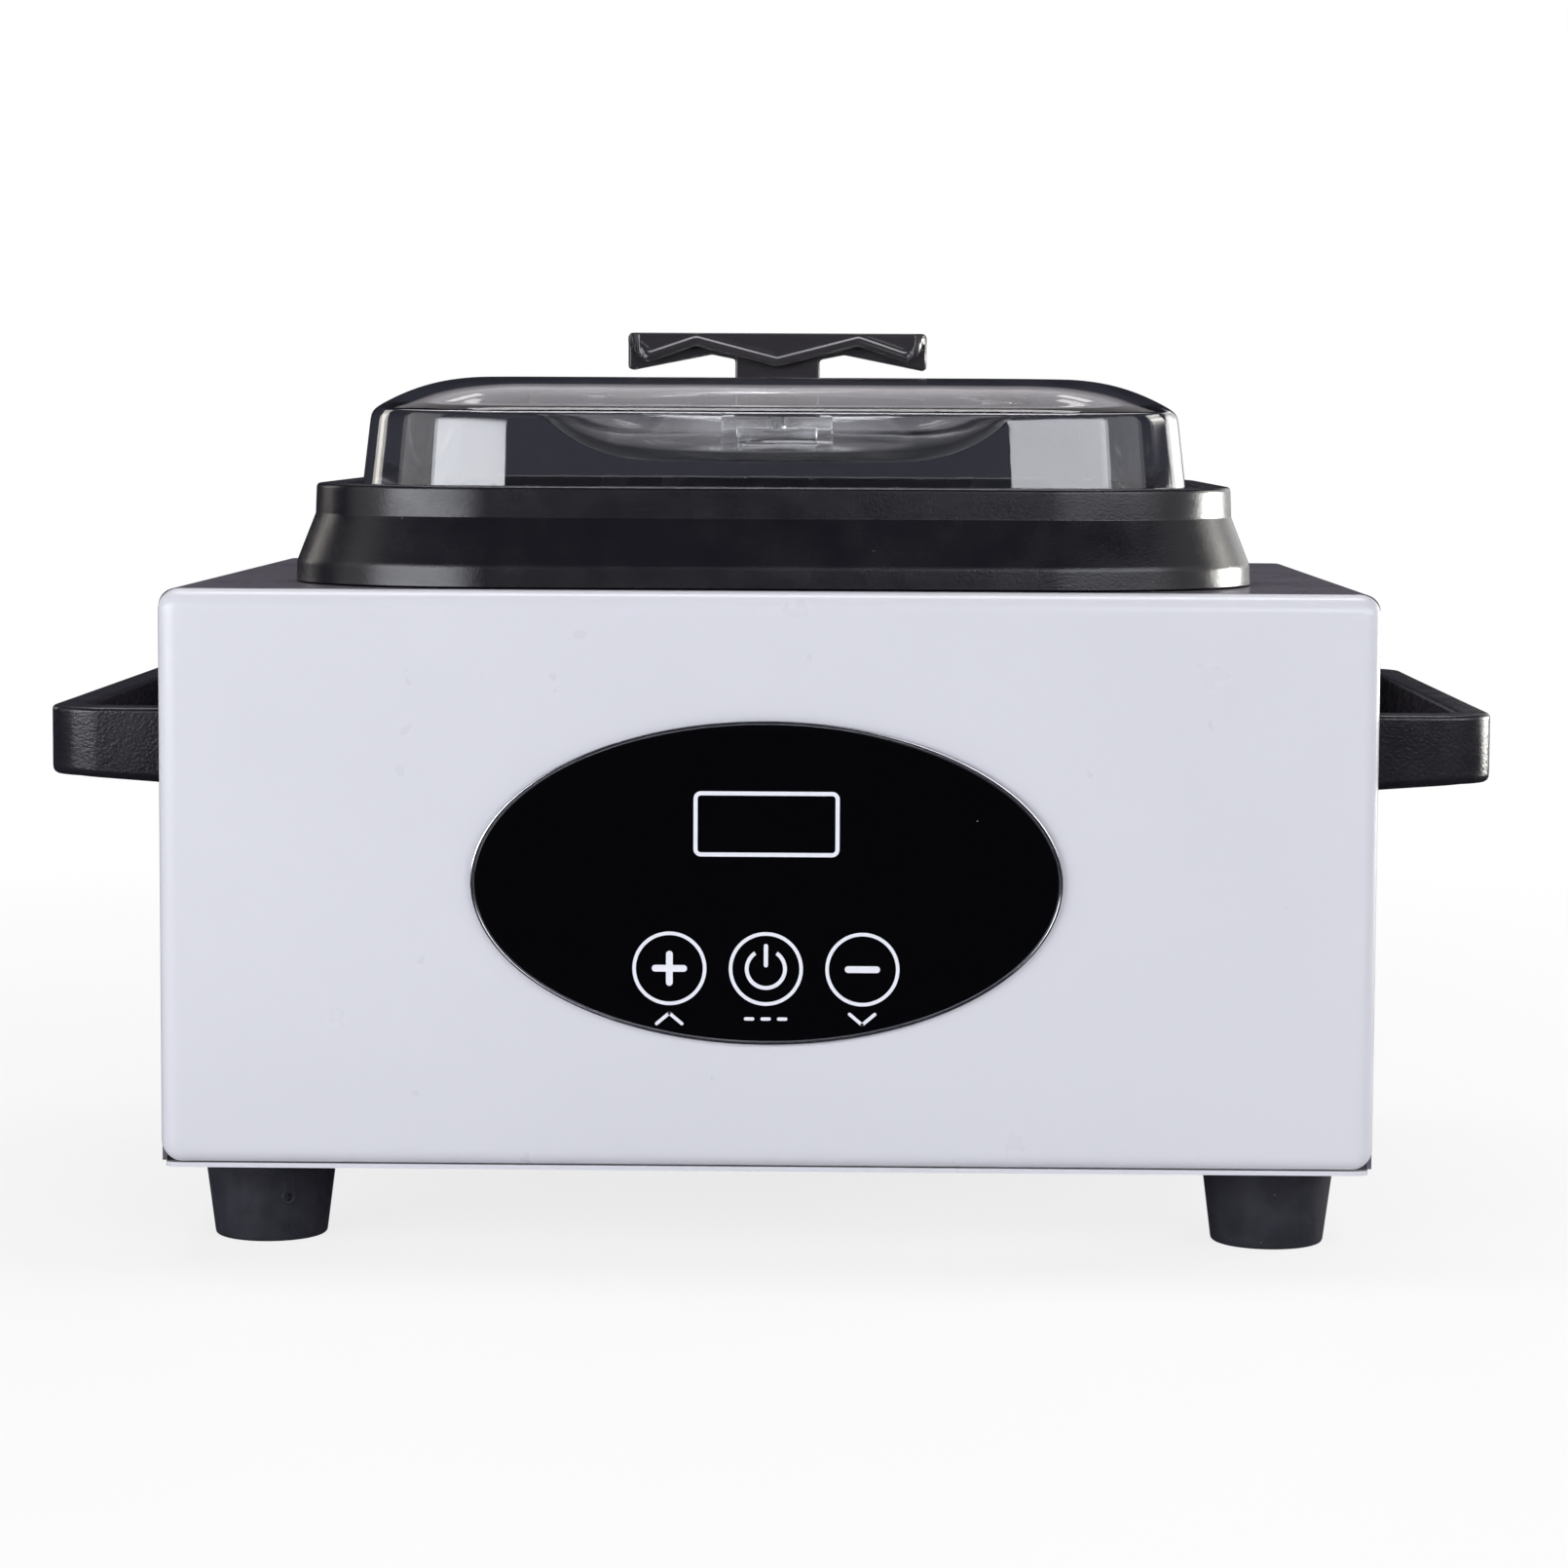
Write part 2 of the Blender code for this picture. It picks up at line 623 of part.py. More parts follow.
def thermal_cutoff(build):
    """Snap-disc cut-out under the clamp, with two blade terminals."""
    top = CLAMP_BOTTOM - GAP
    profile = [
        (0, top), (0.0080, top), (0.0080, top - 0.0040), (0.0066, top - 0.0045),
        (0.0066, top - 0.0100), (0, top - 0.0100),
    ]
    disc = turned(build, "thermal_cutoff", profile, "module_black", sides=20, place=(SENSOR_X, 0, 0))
    blades = [
        box((0.0008, 0.0048, 0.0080), (SENSOR_X + x, 0, top - 0.0120)) for x in (-0.0035, 0.0035)
    ]
    boolean(disc, build.cutter("add_cutoff_blades", gather(blades)), "UNION")


def temperature_probe(build):
    """Ring-tongue probe under the clamp, lying along Y."""
    r = PROBE_RADIUS
    profile = [
        (0, 0.012), (r - 0.0007, 0.0115), (r, 0.0100), (r, -0.0115), (r - 0.0007, -0.012), (0, -0.012),
    ]
    turned(build, "temperature_probe", profile, "brass", sides=12,
           place=(-SENSOR_X, 0, probe_height()), turn=(math.pi / 2, 0, 0))


def probe_height():
    return CLAMP_BOTTOM - GAP - PROBE_RADIUS - 0.0001


# ---------------------------------------------------------------- control panel

def facing_front(item, y):
    """Lays a piece made in local X and Y upright, its local +Z towards the front."""
    item.location = (0, y, PANEL_Z)
    item.rotation_euler = (math.pi / 2, 0, 0)


def control_panel(build):
    """Oval cover and the thin ring round it."""
    def oval(inset, z):
        return round_ring(PANEL_HALF_WIDTH - inset, PANEL_HALF_HEIGHT - inset, z, 52)

    section = (
        (0, GAP), (0, PROUD - 0.0004), (0.0004, PROUD), (TRIM_WIDTH, PROUD), (TRIM_WIDTH, GAP),
    )
    ring = loft([oval(inset, z) for inset, z in section], closed=True)
    facing_front(build.piece("panel_trim", ring, "trim_silver"), FRONT_Y)
    edge = TRIM_WIDTH + GAP
    face = [oval(edge, GAP), oval(edge, 0.0012), oval(edge + 0.0004, 0.0015)]
    facing_front(build.piece("control_panel", loft(face), "gloss_black"), FRONT_Y)


def control_electronics(build):
    """Board behind the panel, with its display, touch springs, buzzer and screws."""
    front = BOARD_Y - BOARD_THICKNESS / 2
    size = (2 * BOARD_HALF_WIDTH, BOARD_THICKNESS, BOARD_HIGH - BOARD_LOW)
    middle = (0, BOARD_Y, (BOARD_LOW + BOARD_HIGH) / 2)
    board = build.piece("control_board", box(size, middle), "circuit_green")
    places = [(x, z) for x in (-BOSS_X, BOSS_X) for z in BOSS_Z]
    holes = [cylinder(0.0018, 0.008, (x, BOARD_Y, z), "Y", 10) for x, z in places]
    boolean(board, build.cutter("cut_board_screw_holes", gather(holes)), "DIFFERENCE")
    display_front = FRONT_Y + 0.0001
    depth = front - GAP - display_front
    size = (DISPLAY_SIZE[0], depth, DISPLAY_SIZE[1])
    display = box(size, (0, display_front + depth / 2, DISPLAY_Z), 0.0004)
    build.piece("display_module", display, "module_black")
    back = BOARD_Y + BOARD_THICKNESS / 2 + GAP
    profile = [(0, 0.0085), (0.0050, 0.0085), (0.0060, 0.0075), (0.0060, 0), (0, 0)]
    buzzer_x, buzzer_z = BUZZER_PLACE
    turned(build, "buzzer", profile, "module_black", sides=16,
           place=(buzzer_x, back, buzzer_z), turn=(-math.pi / 2, 0, 0))
    names = ("lower_left", "upper_left", "lower_right", "upper_right")
    for label, (x, z) in zip(names, places):
        pan_screw(build, f"board_screw_{label}", 0.0027, 0.0018, 0.0013, 0.0060,
                  (x, back, z), (-math.pi / 2, 0, 0))
    for label, x in (("plus", -KEY_PITCH), ("power", 0.0), ("minus", KEY_PITCH)):
        touch_spring(build, f"touch_spring_{label}", x, front - GAP)


def touch_spring(build, name, x, board_face):
    """Light coil spring that carries the touch signal from the board to the panel."""
    turns, steps, wire, coil = 3, 6, 0.0004, 0.0036
    start, end = board_face - wire, FRONT_Y + wire + 0.0002
    route = []
    for step in range(turns * steps + 1):
        angle = 2 * math.pi * step / steps
        y = start + (end - start) * step / (turns * steps)
        route.append((x + coil * math.cos(angle), y, KEY_Z + coil * math.sin(angle)))
    spring = tube(build, name, route, wire, "screw_steel", points_each=1)
    spring.data.bevel_resolution = 0


# ---------------------------------------------------------------- power

def power_parts(build):
    """Power board on its posts, with the supply module, relay, fuse holder and terminals."""
    x, y = BOARD_CENTRE
    board = box((0.084, 0.058, 0.0016), (x, y, POWER_BOARD_Z + 0.0008))
    build.piece("power_board", board, "circuit_green")
    # name, size, place on the board from its centre, bevel, finish
    rows = (
        ("power_module", (0.034, 0.022, 0.016), (0.020, 0.012), 0.0008, "module_black"),
        ("heater_relay", (0.019, 0.0155, 0.015), (-0.010, 0.012), 0.0006, "relay_blue"),
        ("fuse_holder", (0.024, 0.009, 0.010), (0.020, -0.014), 0.0012, "module_black"),
        ("terminal_block", (0.030, 0.011, 0.012), (-0.014, -0.018), 0.0005, "terminal_green"),
    )
    for name, size, (dx, dy), bevel, finish in rows:
        centre = (x + dx, y + dy, POWER_DECK + size[2] / 2)
        block = build.piece(name, box(size, centre, bevel), finish)
    pitch = 0.0075
    wells = [
        cylinder(0.0021, 0.006, (centre[0] + pitch * (i - 1.5), centre[1], centre[2] + 0.005), "Z", 10)
        for i in range(4)
    ]
    boolean(block, build.cutter("cut_terminal_wells", gather(wells)), "DIFFERENCE")


def power_inlet(build):
    """Mains inlet socket: flange behind the rear panel, face flush with it, three pins."""
    flange_y = REAR_Y - SHEET - GAP - 0.0010
    hx, hz = INLET_HALF
    depth = 0.0200
    body = box((2 * hx, depth, 2 * hz), (INLET_X, REAR_Y - depth / 2, INLET_Z), 0.0008)
    inlet = build.piece("power_inlet", body, "black_plastic")
    flange = [box((0.0500, 0.0020, 0.0225), (INLET_X, flange_y, INLET_Z), 0.0004)]
    boolean(inlet, build.cutter("add_inlet_flange", gather(flange)), "UNION")
    socket = [box((0.0220, 0.0150, 0.0150), (INLET_X, REAR_Y - 0.0068, INLET_Z), 0.0010)]
    for x in (INLET_X - INLET_SCREW_X, INLET_X + INLET_SCREW_X):
        socket.append(cylinder(0.0016, 0.012, (x, flange_y, INLET_Z), "Y", 10))
    boolean(inlet, build.cutter("cut_inlet_socket", gather(socket)), "DIFFERENCE")
    pins = [
        box((0.0020, 0.0120, 0.0040), (INLET_X + x, REAR_Y - 0.0095, INLET_Z + z))
        for x, z in ((-0.0070, -0.0015), (0.0, 0.0025), (0.0070, -0.0015))
    ]
    boolean(inlet, build.cutter("add_inlet_pins", gather(pins)), "UNION")
    for label, x in (("left", INLET_X + INLET_SCREW_X), ("right", INLET_X - INLET_SCREW_X)):
        pan_screw(build, f"inlet_screw_{label}", 0.0029, PROUD - GAP, 0.0013, 0.0070,
                  (x, REAR_Y + GAP, INLET_Z), (-math.pi / 2, 0, 0))


def leads(build):
    """The wiring inside the case."""
    bx, by = BOARD_CENTRE
    top = POWER_DECK + 0.0124
    tube(build, "inlet_lead", [
        (INLET_X, REAR_Y - 0.0206, INLET_Z), (INLET_X, 0.0930, INLET_Z - 0.0010),
        (0.0700, 0.0880, 0.0570), (0.0450, 0.0700, 0.0530), (bx - 0.0253, by - 0.0150, 0.0540),
        (bx - 0.0253, by - 0.0180, top),
    ], 0.0012, "lead_white")
    tube(build, "heater_lead", [
        (bx - 0.0102, by - 0.0180, top), (0.0620, 0.0260, 0.0540), (0.0550, 0.0100, 0.0560),
        (0.0437, 0.0020, 0.0500), (0.0435, 0.0, 0.0544),
    ], 0.0012, "lead_red")
    tube(build, "probe_lead", [
        (-SENSOR_X, -0.0124, probe_height()), (-0.0400, -0.0300, 0.0620), (-0.0350, -0.0650, 0.0560),
        (-0.0300, -0.0960, 0.0620), (-0.0300, -0.1010, 0.0760), (-0.0300, BOARD_Y + 0.0060, 0.0800),
        (-0.0300, BOARD_Y + 0.0014, 0.0800),
    ], 0.0010, "lead_white")
    tube(build, "panel_cable", [
        (bx - 0.030, by - 0.0150, POWER_DECK + 0.0012), (0.0350, 0.0200, 0.0400), (0.0250, -0.0200, 0.0420),
        (0.0200, -0.0700, 0.0440), (0.0200, -0.0960, 0.0560), (0.0200, -0.1010, 0.0760),
        (0.0200, BOARD_Y + 0.0065, 0.0820), (0.0200, BOARD_Y + 0.0016, 0.0820),
    ], 0.0012, "lead_white")


# ---------------------------------------------------------------- handles, feet and screws

def handle_screw_y():
    return HANDLE_HALF_LENGTH - HANDLE_ARM / 2


def handle_stations():
    """Matching points of the handle's outer and inner outlines, from the front root to the rear."""
    root = CASE_WIDTH / 2 + GAP
    bar_x = HANDLE_REACH - HANDLE_BAR
    inner_corner = HANDLE_INNER_CORNER
    outer_c = (HANDLE_REACH - HANDLE_CORNER, -HANDLE_HALF_LENGTH + HANDLE_CORNER)
    inner_c = (bar_x - inner_corner, -HANDLE_HALF_LENGTH + HANDLE_ARM + inner_corner)
    half = [((root, -HANDLE_HALF_LENGTH), (root, -HANDLE_HALF_LENGTH + HANDLE_ARM))]
    for step in range(7):
        angle = math.radians(-90 + 90 * step / 6)
        c, s = math.cos(angle), math.sin(angle)
        half.append((
            (outer_c[0] + HANDLE_CORNER * c, outer_c[1] + HANDLE_CORNER * s),
            (inner_c[0] + inner_corner * c, inner_c[1] + inner_corner * s),
        ))
    mirrored = [((ox, -oy), (ix, -iy)) for (ox, oy), (ix, iy) in reversed(half)]
    return half + mirrored


def handle(build, name, side):
    """Rigid loop: two arms and a bar, a band deeper at its roots, with rounded edges."""
    root = CASE_WIDTH / 2 + GAP
    bar_x = HANDLE_REACH - HANDLE_BAR
    rings = []
    for outer, inner in handle_stations():
        o, i = Vector((*outer, 0)), Vector((*inner, 0))
        across = (o - i).normalized() * HANDLE_EDGE
        share = min(1.0, (max(outer[0], inner[0]) - root) / (bar_x - root))
        height = HANDLE_ROOT_HEIGHT + (HANDLE_BAR_HEIGHT - HANDLE_ROOT_HEIGHT) * share
        low, high, edge = HANDLE_TOP - height, HANDLE_TOP, HANDLE_EDGE
        ring = [
            (i, low + edge), (i + across, low), (o - across, low), (o, low + edge),
            (o, high - edge), (o - across, high), (i + across, high), (i, high - edge),
        ]
        rings.append([Vector((side * p.x, p.y, z)) for p, z in ring])
    item = build.piece(name, loft(rings), "black_plastic")
    holes = [
        cylinder(0.0022, 0.024, (side * root, y, HANDLE_SCREW_Z), "X", 12)
        for y in (-handle_screw_y(), handle_screw_y())
    ]
    boolean(item, build.cutter(f"cut_{name}", gather(holes)), "DIFFERENCE")
    face = CASE_WIDTH / 2 - SHEET - GAP
    for label, y in (("front", -handle_screw_y()), ("rear", handle_screw_y())):
        screw = name.replace("handle", "handle_screw") + f"_{label}"
        pan_screw(build, screw, 0.0040, 0.0026, 0.0019, 0.0110,
                  (side * face, y, HANDLE_SCREW_Z), (0, -side * math.pi / 2, 0))


def feet(build):
    """Tapered rubber feet, counterbored for a screw up into the base."""
    top, bore, seat = BASE_Z - GAP, 0.0024, 0.0100
    profile = [
        (bore, top), (FOOT_TOP_RADIUS, top), (FOOT_TOP_RADIUS, top - 0.0010),
        (FOOT_BOTTOM_RADIUS + 0.0004, 0.0014), (FOOT_BOTTOM_RADIUS - 0.0010, 0.0),
        (0.0062, 0.0), (0.0062, seat), (bore, seat),
    ]
    names = ("front_left", "front_right", "rear_left", "rear_right")
    for label, (x, y) in zip(names, foot_places()):
        turned(build, f"foot_{label}", profile, "foot_rubber", sides=20, place=(x, y, 0))
        pan_screw(build, f"foot_screw_{label}", 0.0042, 0.0026, 0.0020, 0.0180,
                  (x, y, seat - GAP), (math.pi, 0, 0))


def case_screws(build):
    names = ("lower_right", "upper_right", "lower_left", "upper_left")
    for label, (x, z) in zip(names, rear_screw_places()):
        pan_screw(build, f"rear_screw_{label}", 0.0034, PROUD - GAP, 0.0016, 0.0065,
                  (x, REAR_Y + GAP, z), (-math.pi / 2, 0, 0))
    seat = BASE_Z + SHEET + GAP
    profile = [
        (0, 0.0400), (0.0020, 0.0400), (0.0020, 0.0315), (0.0040, 0.0315), (0.0040, seat),
        (0.0020, seat), (0.0020, BASE_Z - 0.0004), (0, BASE_Z - 0.0004),
    ]
    turned(build, "earth_stud", profile, "brass", sides=12, place=(*EARTH_PLACE, 0))


# ---------------------------------------------------------------- lid

def lid_profile(wall):
    """Rings of the lid's outer skin, or of its inner skin for wall > 0, from the base to the dish."""
    knee = LID_INSET + LID_DRAFT * (LID_KNEE_Z - LID_BASE_Z) / 0.025
    rings = []
    for inset, z in ((LID_INSET, LID_BASE_Z), (knee, LID_KNEE_Z)):
        drop = wall * 0.5 if z > LID_BASE_Z else 0.0
        rings.append(collar_ring(inset + wall, z - drop, LID_CORNER))
    for step in range(1, SHOULDER_STEPS + 1):
        share = (step / SHOULDER_STEPS) ** 1.4
        d = knee + wall * (1 - share) + LID_SHOULDER * share
        rise = 1 - (1 - share) ** SHOULDER_CURVE
        z = LID_KNEE_Z + (LID_TOP - LID_KNEE_Z) * rise - wall * (0.5 + 0.5 * rise)
        rings.append(collar_ring(d, z, LID_CORNER))
    return rings


def dish_rings(wall):
    """Oval rings of the dish, matched point by point to the shoulder's rounded rectangles."""
    arc = 0.0400
    depth = LID_TOP - DISH_FLOOR_Z - LID_WALL
    widest = DISH_HALF_WIDTH - DISH_FLOOR_HALF_WIDTH
    sag = arc - math.sqrt(arc**2 - widest**2)
    count = 4 * (CORNER_STEPS + 1 + SIDE_STEPS)
    rings = []
    for step in range(DISH_STEPS + 1):
        run = widest * (1 - step / DISH_STEPS)
        slope = run / arc
        level = math.sqrt(1 - slope**2)
        drop = (arc - math.sqrt(arc**2 - run**2)) * depth / sag
        reach = DISH_FLOOR_HALF_WIDTH + run + wall * slope
        z = DISH_FLOOR_Z + LID_WALL + drop - wall * level
        if step == 0:
            z = LID_TOP - wall
        ring = []
        for i in range(count):
            angle = math.pi / 4 + 2 * math.pi * (i - CORNER_STEPS / 2) / count
            ring.append(Vector((reach * math.cos(angle), reach * DISH_SHAPE * math.sin(angle), z)))
        rings.append(ring)
    return rings


def lid_shell(build):
    outer = lid_profile(0.0)
    outer += dish_rings(0.0)
    inner = lid_profile(LID_WALL)
    inner += dish_rings(LID_WALL)
    lid = build.piece("lid_shell", loft(outer[::-1] + inner), "clear_plastic")
    floor = DISH_FLOOR_Z + LID_WALL
    pedestal_top = STEM_FOOT_Z - GAP
    sunk = 0.0010
    height = pedestal_top - floor + sunk
    pedestal = box((*PEDESTAL_SIZE, height), (0, 0, pedestal_top - height / 2))
    boolean(lid, build.cutter("add_lid_pedestal", pedestal), "UNION")
    lug_x = STEM_HALF_WIDTH + GAP + LUG_SIZE[0] / 2
    lug_z = pedestal_top - 0.0005 + LUG_SIZE[2] / 2
    lugs = [box(LUG_SIZE, (side * lug_x, 0, lug_z)) for side in (-1, 1)]
    boolean(lid, build.cutter("add_lid_lugs", gather(lugs)), "UNION")
    hollow_z = (DISH_FLOOR_Z - 0.0010, PEDESTAL_HOLLOW_TOP)
    hollow = box((*PEDESTAL_HOLLOW, hollow_z[1] - hollow_z[0]), (0, 0, sum(hollow_z) / 2))
    boolean(lid, build.cutter("cut_pedestal_hollow", hollow), "DIFFERENCE")
    boolean(lid, build.cutter("cut_lid_screw_hole", knob_hole(KNOB_SCREW_HOLE)), "DIFFERENCE")


def knob_hole(radius):
    return cylinder(radius, 0.020, (0, 0, STEM_FOOT_Z), "Z", 12)


def outline_slab(outline, depth):
    """A front-view outline of (x, z), carried through from -depth / 2 to depth / 2 in Y."""
    rings = [[Vector((x, y, z)) for x, z in outline] for y in (-depth / 2, depth / 2)]
    return loft(rings)


def mirrored_outline(half):
    """A closed outline from its right half, listed top to bottom."""
    return half + [(-x, z) for x, z in reversed(half) if x > 0]


def lid_knob(build):
    """T-shaped grip: a core with drooping tips, wider wavy cheeks, and a stem into the dish."""
    top, w = KNOB_TOP, KNOB_HALF_WIDTH
    core = mirrored_outline([
        (w - 0.0012, top - 0.0004), (w, top - 0.0014), (w, 0.2298), (w - 0.0009, 0.2292),
        (0.0184, 0.2337), (STEM_HALF_WIDTH, 0.2324), (STEM_HALF_WIDTH, STEM_FOOT_Z),
    ])
    cheeks = mirrored_outline([
        (w - 0.0010, top), (w, top - 0.0010), (w, 0.2330),
        (0.0352, 0.2306), (0.0200, 0.2362), (0.0, 0.2313),
    ])
    stem_depth = 2 * STEM_HALF_DEPTH
    knob = build.piece("lid_knob", outline_slab(core, stem_depth), "gloss_black")
    body = outline_slab(cheeks, KNOB_DEPTH)
    bmesh.ops.bevel(body, geom=body.edges, offset=0.0009, segments=2, affect="EDGES", clamp_overlap=True)
    boolean(knob, build.cutter("add_knob_cheeks", body), "UNION")
    boolean(knob, build.cutter("cut_knob_hole", knob_hole(KNOB_SCREW_HOLE - 0.0002)), "DIFFERENCE")
    pan_screw(build, "knob_screw", 0.0063, 0.0012, 0.0020, 0.0130,
              (0, 0, PEDESTAL_HOLLOW_TOP - GAP), (math.pi, 0, 0), sides=20)


def main():
    clear_scene()
    build = Build()
    case_cover(build)
    front_panel(build)
    rear_panel(build)
    base_plate(build)
    collar(build)
    tank_gasket(build)
    wax_tank(build)
    insulation_jacket(build)
    heater_plate(build)
    heater_clamp(build)
    clamp_nut(build)
    thermal_cutoff(build)
    temperature_probe(build)
    control_panel(build)
    control_electronics(build)
    power_parts(build)
    power_inlet(build)
    leads(build)
    handle(build, "handle_left", -1)
    handle(build, "handle_right", 1)
    feet(build)
    case_screws(build)
    lid_shell(build)
    lid_knob(build)


main()
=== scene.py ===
"""Looks of the paraffin wax bath: smooth pieces, materials, light and camera for its frame."""
import json
import math

import bmesh
import bpy
from mathutils import Matrix, Vector


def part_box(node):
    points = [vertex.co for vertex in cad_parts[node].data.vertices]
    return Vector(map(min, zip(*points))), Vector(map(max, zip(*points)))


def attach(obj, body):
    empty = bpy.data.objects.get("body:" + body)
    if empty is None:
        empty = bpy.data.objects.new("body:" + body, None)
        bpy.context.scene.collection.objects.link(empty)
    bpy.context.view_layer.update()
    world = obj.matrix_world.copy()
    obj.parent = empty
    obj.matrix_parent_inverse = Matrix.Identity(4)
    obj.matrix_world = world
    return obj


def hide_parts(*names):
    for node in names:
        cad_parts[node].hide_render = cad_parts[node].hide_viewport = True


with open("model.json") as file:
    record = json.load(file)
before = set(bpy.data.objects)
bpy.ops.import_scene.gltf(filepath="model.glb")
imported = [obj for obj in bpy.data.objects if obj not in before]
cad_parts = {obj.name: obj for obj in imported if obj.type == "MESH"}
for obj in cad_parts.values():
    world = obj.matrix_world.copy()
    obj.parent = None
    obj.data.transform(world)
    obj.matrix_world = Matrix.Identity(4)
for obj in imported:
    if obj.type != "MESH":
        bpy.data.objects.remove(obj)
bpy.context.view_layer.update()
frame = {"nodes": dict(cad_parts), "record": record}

MM = 0.001

# Camera: metres, then yaw, pitch and roll in degrees, then millimetres
CAMERA_PLACE = (0.0225, -1.1921, 0.2166)
CAMERA_TURNS = (0.97, 85.06, 0.284)
CAMERA_LENS = 97.6
SENSOR_WIDTH = 36.0

# Studio
FLOOR_SIZE = 4.0
FLOOR_FADE = (0.25, 0.9)
FLOOR_WHITE = (0.80, 1.0)
LIGHTS_AIM = Vector((0, 0, 0.17))

# Sheet metal
SHEET = 1.2 * MM
GAP = 0.3 * MM
BEND = 4.5 * MM
PANEL_CORNER = 5.5 * MM
FLANGE = 8.5 * MM
VENT_WIDTH = 4.5 * MM
VENT_PITCH = 11.0 * MM
VENT_COUNT = 6
VENT_ROWS = ((-0.100, 0.060, 26 * MM), (-0.0275, 0.135, 18 * MM))
CUT_DEPTH = 12 * MM
WINDOW_WIDTH, WINDOW_HEIGHT, WINDOW_Z = 66 * MM, 56 * MM, 0.0976
INLET_CUT = (27.8 * MM, CUT_DEPTH, 20.8 * MM)

# Collar and tank: rounded rectangles are named by their inset from the collar's outer foot
COLLAR_CORNER = 55.0 * MM
SMALLEST_CORNER = 8.0 * MM
COVER_OPENING = 13.0 * MM
FLARE_LOW_Z = 0.1782
FLARE_TOP_Z = 0.1906
LEDGE_Z = 0.1895
LEDGE_INSET = 22.0 * MM
RECESS_INSET = 14.2 * MM

# Lid
LID_WALL = 2.4 * MM
LID_CORNER = 63.0 * MM
LID_KNEE_RISE = 24.9 * MM
LID_DRAFT = 0.12
LID_SHOULDER = 33.0 * MM
DISH_HALF_WIDTH = 71.5 * MM
DISH_FLOOR_HALF_WIDTH = 36.0 * MM
DISH_ARC = 40.0 * MM
DISH_ROUND = 0.80
DISH_FLOOR_Z = 0.2040
PEDESTAL_SIZE = (31.0 * MM, 19.0 * MM)
PEDESTAL_HOLLOW = (22.4 * MM, 14.0 * MM)
PEDESTAL_HOLLOW_TOP = 0.2118
LUG_SIZE = (3.2 * MM, 13.0 * MM, 6.0 * MM)
LUG_SINK = 0.5 * MM
STEM_HALF = 11.6 * MM

# Knob
STEM_DEPTH = 13.0 * MM
RIDGE_RADIUS = 1.45 * MM
FACE_SETBACK = 1.3 * MM
KNOB_VOXEL = 0.38 * MM
KNOB_CORNER = 8.0 * MM

# Control panel
TRIM_WIDTH = 0.7 * MM
OVAL_POINTS = 160
DISPLAY_Z = 0.1138
KEY_Z = 0.0769
MARK_Z = 0.0641
KEY_PITCH = 24.5 * MM
PRINT_THICKNESS = 0.05 * MM
FRAME_HALF = (18.5 * MM, 8.3 * MM)
FRAME_CORNER = 1.9 * MM
FRAME_LINE = 1.05 * MM
KEY_RADIUS = 9.41 * MM
KEY_LINE = 0.90 * MM
SIGN_ARM = 3.61 * MM
SIGN_LINE = 1.72 * MM

# Handles and feet
HANDLE_ARM = 11.0 * MM
HANDLE_THICK = 8.0 * MM
HANDLE_BAR_HEIGHT = 17.8 * MM
FOOT_LOW_RADIUS = 14.7 * MM
MARK_TURN = -66
MARK_Z_ON_FOOT = 0.0120


# ---- mesh helpers

class Span:
    """A CAD node's box at rest."""

    def __init__(self, node):
        self.low, self.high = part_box(node)
        self.centre = (self.low + self.high) / 2
        self.size = self.high - self.low


COLLAR = Span("collar")
CASE = Span("case_cover")
FRONT = Span("front_panel")
REAR = Span("rear_panel")
LID = Span("lid_shell")
KNOB = Span("lid_knob")
PANEL = Span("control_panel")
TRIM = Span("panel_trim")
PRINT_FRONT = PANEL.low.y - PRINT_THICKNESS
PRINT_BACK = PANEL.low.y + PRINT_THICKNESS / 2


def add_object(name, data):
    obj = bpy.data.objects.new(name, data)
    bpy.context.scene.collection.objects.link(obj)
    return obj


def smoothed(mesh, sharp):
    """Smooth shading, except over edges sharper than that angle."""
    mesh.shade_smooth()
    mesh.set_sharp_from_angle(angle=math.radians(sharp))
    return mesh


def link(name, bm, sharp=35):
    """A bmesh shape as an object in the scene."""
    mesh = bpy.data.meshes.new(name)
    bm.to_mesh(mesh)
    bm.free()
    return add_object(name, smoothed(mesh, sharp))


def apply(obj, sharp=35):
    """Turns the object with its modifiers into plain mesh."""
    bpy.context.view_layer.update()
    graph = bpy.context.evaluated_depsgraph_get()
    mesh = bpy.data.meshes.new_from_object(obj.evaluated_get(graph))
    obj.modifiers.clear()
    obj.data = smoothed(mesh, sharp)


def combine(obj, shape, operation, sharp=35):
    """A Boolean with a closed bmesh shape, applied at once."""
    tool = link("tool", shape)
    step = obj.modifiers.new("shape", "BOOLEAN")
    step.object = tool
    step.operation = operation
    step.solver = "EXACT"
    apply(obj, sharp)
    bpy.data.objects.remove(tool)


def even_shading(obj):
    """Keeps big flat faces flat next to rounded edges."""
    step = obj.modifiers.new("even_shading", "WEIGHTED_NORMAL")
    step.keep_sharp = True
    return obj


def install(obj, body, slot, *nodes, look=None):
    """Gives a piece its body and its finish, and hides the CAD nodes that it stands for."""
    obj.data.materials.clear()
    obj.data.materials.append(look or LOOKS[slot])
    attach(obj, body)
    if nodes:
        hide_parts(*nodes)


def sweep(start, turn, steps):
    """Cosine and sine of the angles from start on through turn, in degrees, in equal steps."""
    angles = [math.radians(start + turn * step / steps) for step in range(steps + 1)]
    return [(math.cos(angle), math.sin(angle)) for angle in angles]


